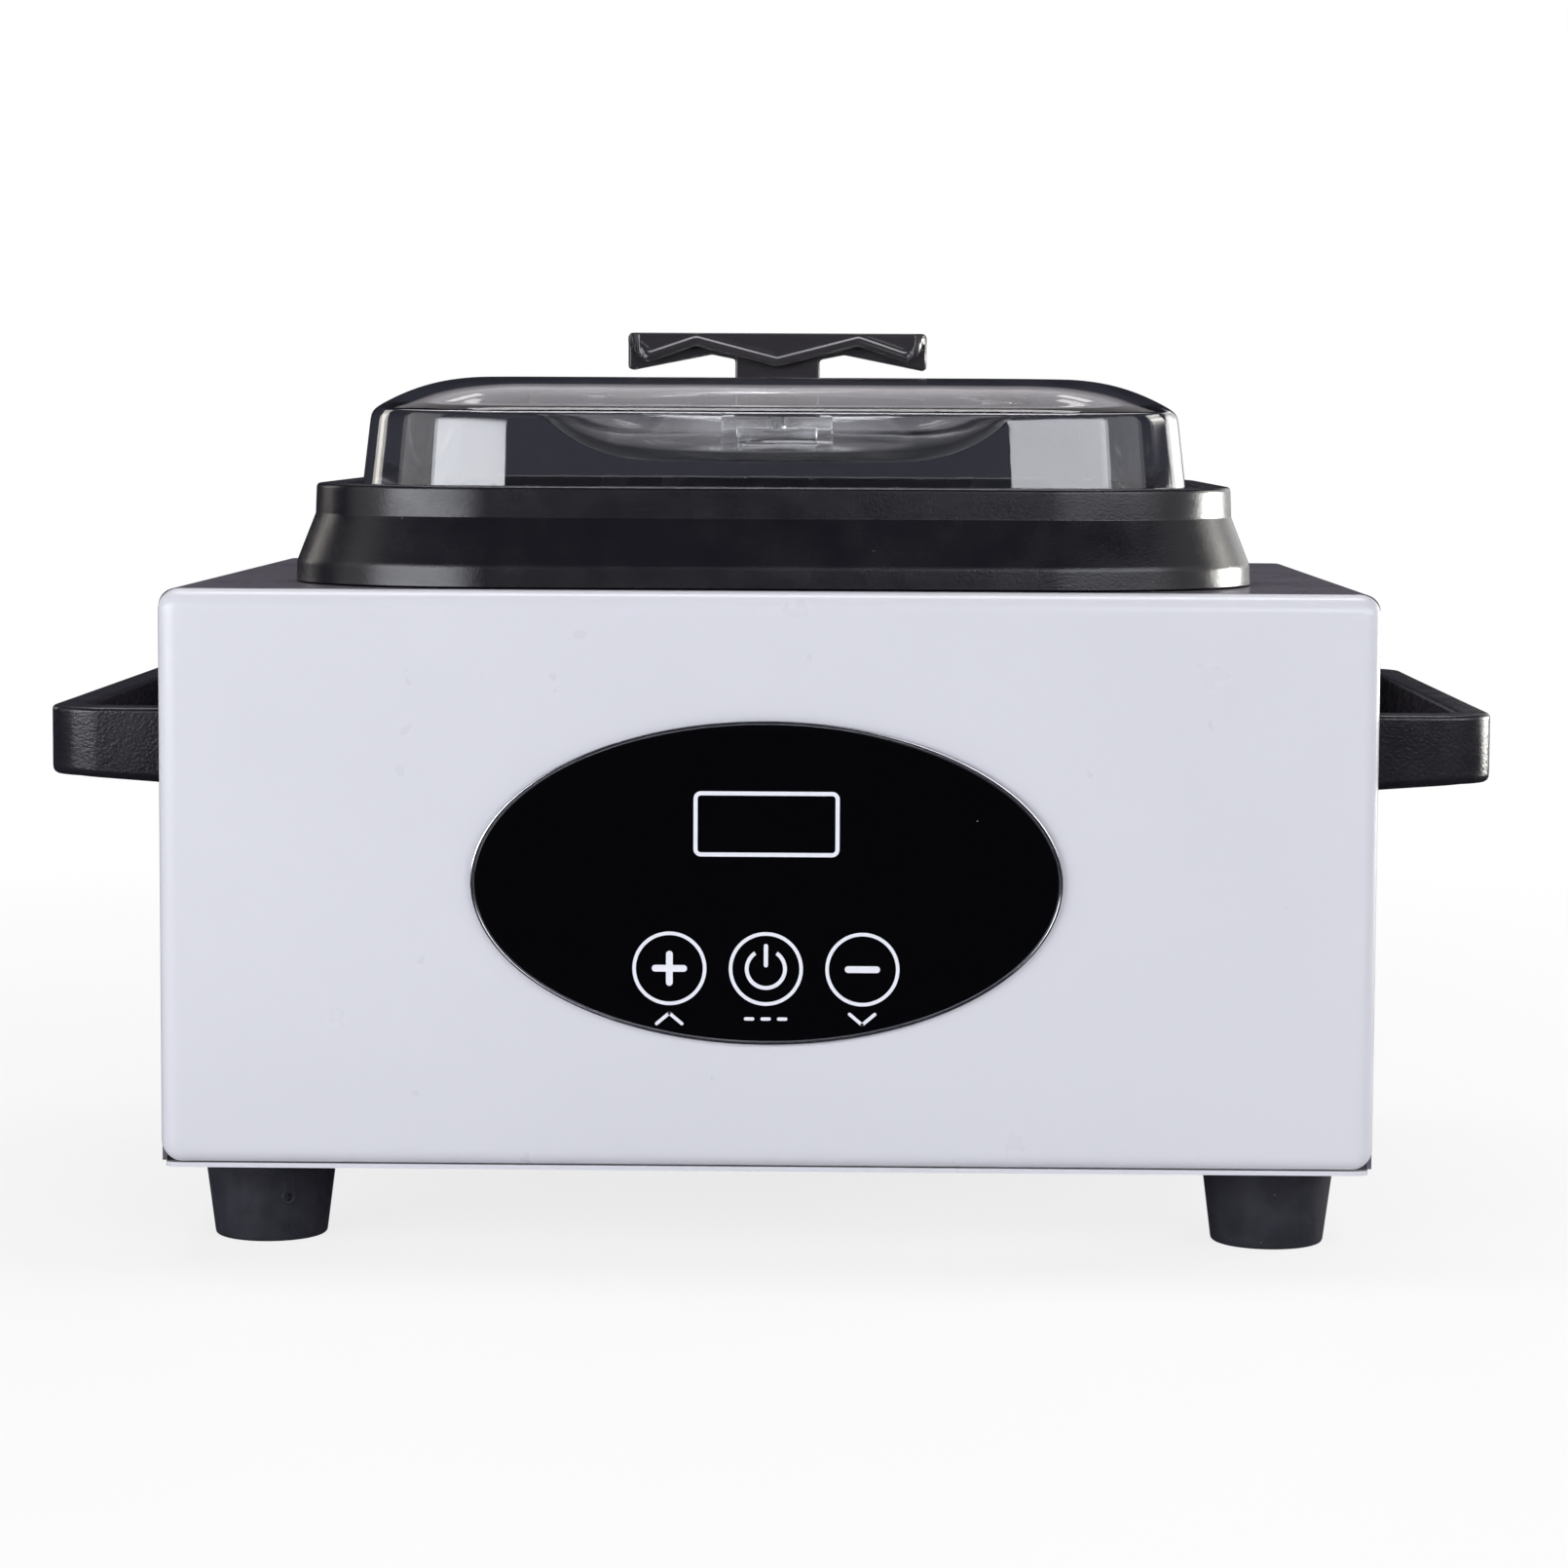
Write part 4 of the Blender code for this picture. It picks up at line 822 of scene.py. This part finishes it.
def lid_shell():
    """Clear cap: a rounded rectangle with a soft shoulder and an oval dish for the knob's foot."""
    steps = {"corner_steps": 10, "side_steps": 9}
    count = len(collar_ring(0, 0, **steps))
    # the ring starts at the end of the +X side, so the oval is turned to run beside it
    first = (steps["side_steps"] - 1) / 2
    outer = lid_side_rings(0.0, steps) + lid_dish_rings(0.0, count, first)
    inner = lid_side_rings(LID_WALL, steps) + lid_dish_rings(LID_WALL, count, first)
    shell = link("lid_clear", loft(outer[::-1] + inner))
    smooth = shell.modifiers.new("smooth", "SUBSURF")
    smooth.levels = smooth.render_levels = 2
    apply(shell)
    sunk = 1.0 * MM
    floor = DISH_FLOOR_Z + LID_WALL
    top = KNOB.low.z - GAP
    height = top - floor + sunk
    pedestal = block((*PEDESTAL_SIZE, height), (0, 0, top - height / 2), 0.6 * MM)
    combine(shell, pedestal, "UNION")
    lug_x, lug_z = STEM_HALF + GAP + LUG_SIZE[0] / 2, top + LUG_SIZE[2] / 2 - LUG_SINK
    lugs = [block(LUG_SIZE, (side * lug_x, 0, lug_z), 0.3 * MM, 2) for side in (-1, 1)]
    combine(shell, gather(lugs), "UNION")
    low = DISH_FLOOR_Z - 1 * MM
    hollow = (*PEDESTAL_HOLLOW, PEDESTAL_HOLLOW_TOP - low)
    combine(shell, block(hollow, (0, 0, (PEDESTAL_HOLLOW_TOP + low) / 2), 0.6 * MM), "DIFFERENCE")
    combine(shell, rod(2.4 * MM, 20 * MM, (0, 0, KNOB.low.z)), "DIFFERENCE", 50)
    install(shell, "lid", "clear_plastic", "lid_shell")


def slab(outline, depth):
    """A front-view outline of (x, z), carried through in Y."""
    return loft([[Vector((x, side * depth / 2, z)) for x, z in outline] for side in (-1, 1)])


def mirrored(half):
    """An outline from its right half."""
    return half + [(-x, z) for x, z in reversed(half) if x > 0]


def bead(points, radius, y):
    """Closed shapes of a round bar along points of (x, z): a rod per leg and a ball per point."""
    shapes = []
    for (x1, z1), (x2, z2) in zip(points, points[1:]):
        start, end = Vector((x1, y, z1)), Vector((x2, y, z2))
        along = end - start
        turn = along.to_track_quat("Z", "Y").to_matrix().to_4x4()
        shapes.append(rod(radius, along.length, (start + end) / 2, turn, 20))
    for x, z in points:
        bm = bmesh.new()
        centre = Matrix.Translation((x, y, z))
        bmesh.ops.create_icosphere(bm, subdivisions=3, radius=radius, matrix=centre)
        shapes.append(bm)
    return shapes


def lid_knob():
    """T-shaped grip: a flat-topped bar whose faces end in a rolled W ridge, over a stem."""
    top, w, depth, foot = KNOB.high.z, KNOB.high.x, KNOB.size.y, KNOB.low.z
    core = mirrored([
        (w - 1.2 * MM, top - 0.6 * MM), (w - 0.3 * MM, top - 1.4 * MM), (w - 0.3 * MM, 0.2300),
        (w - 1.2 * MM, 0.2294), (18.4 * MM, 0.2338), (STEM_HALF, 0.2324), (STEM_HALF, foot),
    ])
    face = mirrored([
        (w - 1.0 * MM, top), (w - 0.2 * MM, top - 1.0 * MM), (w - 0.2 * MM, 0.2372),
        (36.0 * MM, 0.2332), (22.6 * MM, 0.2378), (0.0, 0.2320),
    ])
    ridge = [(w - 1.9 * MM, 0.2362), (35.6 * MM, 0.2328), (22.4 * MM, 0.2373), (0.0, 0.2315)]
    ridge += [(-x, z) for x, z in reversed(ridge[:-1])]
    shapes = [slab(core, STEM_DEPTH), slab(face, depth - 2 * FACE_SETBACK)]
    for side in (-1, 1):
        shapes += bead(ridge, RIDGE_RADIUS, side * (depth / 2 - RIDGE_RADIUS - 0.05 * MM))
    under = [(x, z - 0.2 * MM) for x, z in ridge]
    web = [(x, z + 1.2 * MM) for x, z in ridge[::-1]]
    shapes.append(slab(under + web, depth - 2 * RIDGE_RADIUS))
    grip = link("knob_grip", gather(shapes))
    voxels = grip.modifiers.new("voxels", "REMESH")
    voxels.mode = "VOXEL"
    voxels.voxel_size = KNOB_VOXEL
    apply(grip)
    # the bar's ends are rounded in plan, which leaves its middle untouched
    plan = [rounded_ring(w, depth / 2 + 0.2 * MM, KNOB_CORNER, z) for z in (foot - MM, top + MM)]
    combine(grip, loft(plan), "INTERSECT")
    soften = grip.modifiers.new("soften", "SMOOTH")
    soften.factor, soften.iterations = 0.5, 7
    apply(grip, 180)
    fit_to_box(grip, KNOB)
    install(grip, "lid", "gloss_black", "lid_knob", look=satin_black())


def fit_to_box(obj, span):
    """Scales the mesh, by a hair after smoothing, so that it fills its CAD node's box."""
    verts = obj.data.vertices
    for axis in range(3):
        values = [vert.co[axis] for vert in verts]
        low, high = min(values), max(values)
        scale = (span.high[axis] - span.low[axis]) / (high - low)
        for vert in verts:
            vert.co[axis] = span.low[axis] + (vert.co[axis] - low) * scale


# ---- control panel

def upright(bm):
    """Stands a shape made in X and Y on the front panel, round the control panel's centre."""
    return moved(bm, (0, FRONT.low.y, PANEL.centre.z), (90, 0, 0))


def control_panel():
    """Glossy oval with a rolled edge, inside a thin bright ring."""
    half_x, half_z = TRIM.size.x / 2, TRIM.size.z / 2
    foot = FRONT.low.y - TRIM.high.y
    proud = FRONT.low.y - TRIM.low.y
    section = filleted([
        (0, foot, 0), (0, proud, 0.6 * MM), (TRIM_WIDTH, proud, 0.25 * MM), (TRIM_WIDTH, foot, 0),
    ])
    rings = [oval_ring(half_x - inset, half_z - inset, z, OVAL_POINTS) for inset, z in section]
    ring = link("trim_ring", upright(loft(rings, closed=True)), 50)
    install(ring, "case", "trim_silver", "panel_trim")
    half_x, half_z = PANEL.size.x / 2, PANEL.size.z / 2
    face = FRONT.low.y - PANEL.low.y
    edge = filleted([(0, foot, 0), (0, face, 0.25 * MM), (1.5 * MM, face, 0)], closed=False)
    rings = [oval_ring(half_x - inset, half_z - inset, z, OVAL_POINTS) for inset, z in edge]
    plate = link("touch_plate", upright(loft(rings)))
    install(even_shading(plate), "case", "gloss_black", "control_panel")


def at_depth(outline, y):
    return [Vector((x, y, z)) for x, z in outline]


def printed(outline):
    """A thin print inside one outline of (x, z)."""
    return loft([at_depth(outline, PRINT_BACK), at_depth(outline, PRINT_FRONT)])


def band(outer, inner):
    """A thin print between two outlines of (x, z)."""
    rings = [at_depth(outer, PRINT_BACK), at_depth(outer, PRINT_FRONT)]
    rings += [at_depth(inner, PRINT_FRONT), at_depth(inner, PRINT_BACK)]
    return loft(rings, closed=True)


def round_end(x, z, heading, half):
    """Half a circle of points about (x, z) that bulges along a heading in degrees."""
    return [(x + half * c, z + half * s) for c, s in sweep(heading - 90, 180, 12)]


def bar(start, end, width):
    """A printed stroke with round ends from start to end, both (x, z)."""
    heading, half = math.degrees(math.atan2(end[1] - start[1], end[0] - start[0])), width / 2
    return printed(round_end(*end, heading, half) + round_end(*start, heading + 180, half))


def crossed_bars(x, z, arm, width):
    """A printed cross of four round-ended arms in one outline."""
    outline, half = [], width / 2
    for heading in (0, 90, 180, 270):
        turn = Matrix.Rotation(math.radians(heading), 2)
        end, corner = turn @ Vector((arm, 0)), turn @ Vector((half, half))
        outline += round_end(x + end.x, z + end.y, heading, half)
        outline.append((x + corner.x, z + corner.y))
    return printed(outline)


def circle(x, z, radius):
    return [(x + radius * c, z + radius * s) for c, s in sweep(0, 360, 96)[:-1]]


def arc_stroke(x, z, radius, width, open_half):
    """An almost closed ring, open at its top by twice open_half degrees."""
    outer, inner = [], []
    for c, s in sweep(90 + open_half, 360 - 2 * open_half, 72):
        for skin, reach in ((outer, radius + width / 2), (inner, radius - width / 2)):
            skin.append((x + reach * c, z + reach * s))
    return printed(outer + inner[::-1])


def print_piece(name, shapes):
    piece = link(name, gather(shapes), 60)
    install(piece, "case", "white_paint", look=PRINT)


def frame_ring(inset):
    """The display frame's outline, drawn in by that inset."""
    half_x, half_z = FRAME_HALF
    ring = rounded_ring(half_x - inset, half_z - inset, FRAME_CORNER - inset, 0, 8, 2)
    return [(p.x, p.y + DISPLAY_Z) for p in ring]


def panel_prints():
    """The display's frame, the three keys with their signs, and a plain mark under each key."""
    print_piece("print_display_frame", [band(frame_ring(0), frame_ring(FRAME_LINE))])
    for name, x in (("plus", -KEY_PITCH), ("power", 0.0), ("minus", KEY_PITCH)):
        shapes = [band(circle(x, KEY_Z, KEY_RADIUS), circle(x, KEY_Z, KEY_RADIUS - KEY_LINE))]
        if name == "plus":
            shapes.append(crossed_bars(x, KEY_Z, SIGN_ARM, SIGN_LINE))
        if name == "minus":
            shapes.append(bar((x - SIGN_ARM, KEY_Z), (x + SIGN_ARM, KEY_Z), SIGN_LINE))
        if name == "power":
            shapes.append(arc_stroke(x, KEY_Z, 4.85 * MM, 0.98 * MM, 34))
            shapes.append(bar((x, KEY_Z + 0.95 * MM), (x, KEY_Z + 5.85 * MM), 1.08 * MM))
        print_piece(f"print_key_{name}", shapes)
    half, rise, thin = 3.2 * MM, 1.35 * MM, 0.85 * MM
    for name, x, way in (("up", -KEY_PITCH, 1), ("down", KEY_PITCH, -1)):
        tip = (x, MARK_Z + way * rise)
        strokes = [bar((x + side * half, MARK_Z - way * rise), tip, thin) for side in (-1, 1)]
        print_piece(f"print_mark_{name}", strokes)
    dash, pitch = 0.9 * MM, 4.2 * MM
    dashes = [bar((x - dash, MARK_Z), (x + dash, MARK_Z), thin) for x in (-pitch, 0.0, pitch)]
    print_piece("print_mark_start", dashes)


# ---- handles and feet

def handle_route(side, span):
    """Matching outer and inner points of the loop, in plan, from the front root to the rear one."""
    root, length = CASE.high.x + GAP, span.high.y
    reach = abs(span.high.x if side > 0 else span.low.x)
    outer_corner, inner_corner = 14.0 * MM, 8.0 * MM
    bar_x = reach - HANDLE_THICK
    outer_c = (reach - outer_corner, -length + outer_corner)
    inner_c = (bar_x - inner_corner, -length + HANDLE_ARM + inner_corner)
    half = []
    for share in (0.0, 0.5):
        outer_x = root + (outer_c[0] - root) * share
        inner_x = root + (inner_c[0] - root) * share
        half.append(((outer_x, -length), (inner_x, -length + HANDLE_ARM)))
    for c, s in sweep(-90, 90, 14):
        half.append((
            (outer_c[0] + outer_corner * c, outer_c[1] + outer_corner * s),
            (inner_c[0] + inner_corner * c, inner_c[1] + inner_corner * s),
        ))
    half += [((reach, y), (bar_x, y)) for y in (-0.06, -0.03)]
    middle = [((reach, 0.0), (bar_x, 0.0))]
    return half + middle + [((ox, -oy), (ix, -iy)) for (ox, oy), (ix, iy) in reversed(half)]


def handle(name, side):
    """A loop whose height drops from its roots on the case to its bar."""
    span = Span(name)
    root = CASE.high.x + GAP
    route = handle_route(side, span)
    bar_x = route[len(route) // 2][1][0]
    rings = []
    for outer, inner in route:
        start = Vector((*inner, 0))
        way = Vector((*outer, 0)) - start
        across, width = way.normalized(), way.length
        share = min(1.0, (max(outer[0], inner[0]) - root) / (bar_x - root))
        height = span.size.z + (HANDLE_BAR_HEIGHT - span.size.z) * share
        low, high = span.high.z - height, span.high.z
        section = filleted([
            (0, low, 1.8 * MM), (width, low, 2.2 * MM),
            (width, high, 1.3 * MM), (0, high, 1.3 * MM),
        ], 4)
        ring = []
        for a, z in section:
            point = start + across * a
            ring.append(Vector((side * point.x, point.y, z)))
        rings.append(ring)
    loop = link(name.replace("handle", "handle_loop"), loft(rings))
    install(even_shading(loop), "case", "black_plastic", name, look=HANDLE_PLASTIC)


def foot(name, marked):
    """Tapered rubber foot with a counterbore, and on one foot the round gate mark of its mould."""
    span = Span(name)
    top, top_radius = span.high.z, span.size.x / 2
    bore, counter, seat = 2.4 * MM, 6.2 * MM, 10.0 * MM
    profile = filleted([
        (bore, top, 0), (top_radius, top, 0.3 * MM), (top_radius, top - 1.0 * MM, 0.4 * MM),
        (FOOT_LOW_RADIUS, 0.0, 1.1 * MM), (counter, 0.0, 0.4 * MM), (counter, seat, 0.3 * MM),
        (bore, seat, 0),
    ])
    shape = moved(spun(profile, 96), (span.centre.x, span.centre.y, 0))
    piece = link(name.replace("foot", "foot_tapered"), shape)
    if marked:
        turn = math.radians(MARK_TURN)
        radius = FOOT_LOW_RADIUS + (top_radius - FOOT_LOW_RADIUS) * MARK_Z_ON_FOOT / top
        out = Vector((math.cos(turn), math.sin(turn), 0))
        place = Vector((span.centre.x, span.centre.y, MARK_Z_ON_FOOT)) + out * (radius - 0.10 * MM)
        spot = Matrix.Translation(place) @ out.to_track_quat("Z", "Y").to_matrix().to_4x4()
        low, high, inner, outer = -0.5 * MM, 0.30 * MM, 1.2 * MM, 1.9 * MM
        ring = spun(filleted([
            (inner, low, 0), (outer, low, 0), (outer, high, 0.25 * MM), (inner, high, 0.25 * MM),
        ]), 40)
        bmesh.ops.transform(ring, matrix=spot, verts=ring.verts)
        combine(piece, ring, "UNION", 40)
        pit = block((1.0 * MM, 1.8 * MM, 1.6 * MM), (0, 0, 0), 0.4 * MM)
        bmesh.ops.transform(pit, matrix=spot, verts=pit.verts)
        combine(piece, pit, "DIFFERENCE", 40)
    install(piece, "case", "foot_rubber", name)


# ---- screws and inlet

def cross_ring(arm, half, z):
    """The outline of a plus sign at height z."""
    ring = []
    for quarter in range(4):
        turn = Matrix.Rotation(math.pi / 2 * quarter, 3, "Z")
        corners = ((arm, -half, z), (arm, half, z), (half, half, z))
        ring += [turn @ Vector(corner) for corner in corners]
    return ring


def cross_screw(name, body, axis, way, head_share=0.55, shank_share=0.45):
    """A screw with a domed head and a cross recess; way is its head's side along the axis."""
    span = Span(name)
    along = "XYZ".index(axis)
    length = span.size[along]
    head_radius = span.size[(along + 1) % 3] / 2
    head, shank = head_radius * head_share, head_radius * shank_share
    tip, chamfer = -(length - head), 0.4 * MM
    profile = filleted([
        (0, head, 0), (head_radius * 0.45, head, head * 0.5),
        (head_radius, head * 0.35, head * 0.25), (head_radius, 0, 0), (shank, 0, 0),
        (shank, tip + chamfer, 0), (shank - chamfer, tip, 0), (0, tip, 0),
    ])
    screw = link(name + "_cross", spun(profile, 32))
    arm, half = min(head_radius * 0.55, 1.9 * MM), min(head_radius * 0.12, 0.4 * MM)
    ends = ((0.7, -head * 0.55), (1.2, head))
    recess = [cross_ring(arm * share, half * share, head + z) for share, z in ends]
    combine(screw, loft(recess), "DIFFERENCE")
    turns = {("Y", 1): (-90, 0, 0), ("Z", -1): (180, 0, 0)}
    place = span.centre.copy()
    place[along] = (span.high if way > 0 else span.low)[along] - way * head
    screw.data.transform(placement(place, turns[(axis, way)]))
    install(screw, body, "screw_steel", name)


def screws():
    for level in ("lower", "upper"):
        for side in ("left", "right"):
            cross_screw(f"rear_screw_{level}_{side}", "case", "Y", 1)
    for side in ("left", "right"):
        cross_screw(f"inlet_screw_{side}", "case", "Y", 1)
    for end in ("front", "rear"):
        for side in ("left", "right"):
            cross_screw(f"foot_screw_{end}_{side}", "case", "Z", -1)
    cross_screw("knob_screw", "lid", "Z", -1, 0.19, 0.32)


def power_inlet():
    """Mains socket: a body with its flange behind the panel, a mouth and three pins."""
    span = Span("power_inlet")
    x, z, y = span.centre.x, span.centre.z, span.high.y
    body = link("inlet_body", block((27 * MM, 20 * MM, 20 * MM), (x, y - 10 * MM, z), 0.8 * MM))
    combine(body, block((50 * MM, 2 * MM, 22.5 * MM), (x, y - 2.5 * MM, z), 0.4 * MM, 2), "UNION")
    mouth = block((22 * MM, 15 * MM, 15 * MM), (x, y - 6.8 * MM, z), 1.0 * MM)
    combine(body, mouth, "DIFFERENCE")
    for side in (-1, 1):
        hole = rod(1.6 * MM, 12 * MM, (x + side * 20 * MM, y - 2.5 * MM, z), ALONG_Y)
        combine(body, hole, "DIFFERENCE")
    install(even_shading(body), "case", "black_plastic", "power_inlet", look=HANDLE_PLASTIC)
    pins = [
        block((2.0 * MM, 12 * MM, 4.0 * MM), (x + dx, y - 9.4 * MM, z + dz), 0.5 * MM)
        for dx, dz in ((-7 * MM, -1.5 * MM), (0.0, 2.5 * MM), (7 * MM, -1.5 * MM))
    ]
    install(link("inlet_pins", gather(pins)), "case", "screw_steel")


# ---- stage, light and camera

def mix_shaders(tree, factor, one, two):
    """Puts a mix of two shaders on the surface."""
    mix = add_node(tree, "MixShader", Fac=factor)
    tree.links.new(one, mix.inputs[1])
    tree.links.new(two, mix.inputs[2])
    output = next(node for node in tree.nodes if node.name.endswith("Output"))
    tree.links.new(mix.outputs["Shader"], output.inputs["Surface"])


def floor():
    """A pale studio floor that fades to the white of the background."""
    bm = bmesh.new()
    bmesh.ops.create_grid(bm, x_segments=8, y_segments=8, size=FLOOR_SIZE)
    ground = link("studio_floor", bm)
    look = Look("studio_floor", (0.86, 0.86, 0.87), 0.55)
    look.tint(look.noise(0.5, 2.0), (0.85, 0.85, 0.86), (0.88, 0.88, 0.885))
    length = add_node(look.tree, "VectorMath")
    length.operation = "LENGTH"
    look.tree.links.new(look.space, length.inputs[0])
    far = look.ramp(length.outputs["Value"], *FLOOR_FADE, *FLOOR_WHITE)
    seen = add_node(look.tree, "LightPath").outputs["Is Camera Ray"]
    glow = add_node(look.tree, "Emission", Strength=1.0).outputs["Emission"]
    mix_shaders(look.tree, look.times(far, seen), look.shader.outputs["BSDF"], glow)
    ground.data.materials.append(look.material)
    ground.visible_glossy = ground.visible_transmission = False


def studio():
    """White where the camera looks past the object, dim in every reflection and refraction."""
    world = bpy.data.worlds.new("studio")
    bpy.context.scene.world = world
    world.use_nodes = True
    tree = world.node_tree
    dim = tree.nodes["Background"]
    dim.inputs["Color"].default_value = (0.034, 0.034, 0.046, 1.0)
    white = add_node(tree, "Background", Color=(1.0, 1.0, 1.0, 1.0))
    seen = add_node(tree, "LightPath").outputs["Is Camera Ray"]
    mix_shaders(tree, seen, dim.outputs["Background"], white.outputs["Background"])


def softbox(name, azimuth, elevation, distance, size, radiance, tint, fades=None):
    """A rectangular light; azimuth 0 is in front of the object and 90 on its right.

    The two fades are the shares of its width over which it dims towards its left and right edges.
    """
    a, e = math.radians(azimuth), math.radians(elevation)
    way = Vector((math.sin(a) * math.cos(e), -math.cos(a) * math.cos(e), math.sin(e)))
    data = bpy.data.lights.new(name, "AREA")
    data.shape = "RECTANGLE"
    data.size, data.size_y = size
    data.energy = radiance * size[0] * size[1] * math.pi
    data.color = tint
    if fades:
        data.use_nodes = True
        tree = data.node_tree
        place = add_node(
            tree, "SeparateXYZ", Vector=add_node(tree, "NewGeometry").outputs["Parametric"],
        ).outputs["Y"]
        product = add_node(tree, "Math")
        product.operation = "MULTIPLY"
        for socket, share, start, way_in in zip(product.inputs, fades, (0.0, 1.0), (1, -1)):
            ramp = add_node(
                tree, "MapRange", From_Min=start, From_Max=start + way_in * share, Value=place,
            )
            ramp.interpolation_type = "SMOOTHSTEP"
            tree.links.new(ramp.outputs["Result"], socket)
        tree.links.new(product.outputs["Value"], tree.nodes["Emission"].inputs["Strength"])
    lamp = add_object(name, data)
    lamp.location = LIGHTS_AIM + way * distance
    lamp.rotation_euler = way.to_track_quat("Z", "Y").to_euler()
    lamp.visible_camera = False


def lights():
    """Two big softboxes in front, dim ones at the sides, top light, and lights from behind."""
    cool = (0.93, 0.945, 1.0)
    softbox("softbox_left", -43.2, 9, 1.45, (1.31, 0.60), 6.6, cool, (0.02, 0.32))
    softbox("softbox_right", 36.5, 15, 1.45, (1.60, 0.50), 4.5, cool, (0.11, 0.02))
    softbox("side_left", -82, 14, 1.35, (0.70, 0.80), 0.80, (1.0, 0.98, 0.96), (0.1, 0.1))
    softbox("side_right", 78, 14, 1.35, (0.80, 0.80), 0.75, (0.96, 0.97, 1.0), (0.1, 0.1))
    softbox("overhead", 180, 60, 1.25, (1.60, 1.35), 0.78, (1.0, 0.95, 0.98), (0.12, 0.12))
    softbox("top", 180, 88, 1.30, (1.20, 0.50), 6.5, (0.98, 0.97, 1.0), (0.25, 0.25))
    softbox("glint_left", -155, 46, 1.30, (0.14, 0.07), 2.6, (1.0, 0.99, 0.98))
    softbox("glint_right", 160, 46, 1.30, (0.12, 0.07), 2.6, (1.0, 0.99, 0.98))
    softbox("rim_right", 117, 15, 1.30, (0.40, 0.36), 6.0, (1.0, 0.98, 0.92), (0.50, 0.50))
    softbox("rim_low_right", 118, 0, 1.30, (0.50, 0.26), 34.0, (1.0, 0.98, 0.94), (0.30, 0.30))
    softbox("back_right", 147, 8, 1.30, (0.66, 0.55), 1.3, (1.0, 0.99, 0.97), (0.30, 0.30))
    softbox("rim_left", -126, 10, 1.30, (0.22, 0.62), 2.4, (1.0, 0.95, 0.88), (0.45, 0.45))


def camera():
    data = bpy.data.cameras.new("camera")
    data.lens = CAMERA_LENS
    data.sensor_width = SENSOR_WIDTH
    data.clip_start = 0.01
    view = add_object("camera", data)
    view.matrix_world = placement(CAMERA_PLACE, CAMERA_TURNS, "ZXZ")
    bpy.context.scene.camera = view
    bpy.context.scene.view_settings.view_transform = "Standard"


camera()
studio()
lights()
floor()
dress_nodes()
front_panel()
rear_panel()
case_cover()
collar()
wax_tank()
control_panel()
panel_prints()
handle("handle_left", -1)
handle("handle_right", 1)
for where in ("front_left", "front_right", "rear_left", "rear_right"):
    foot(f"foot_{where}", where == "front_left")
screws()
power_inlet()
lid_shell()
lid_knob()
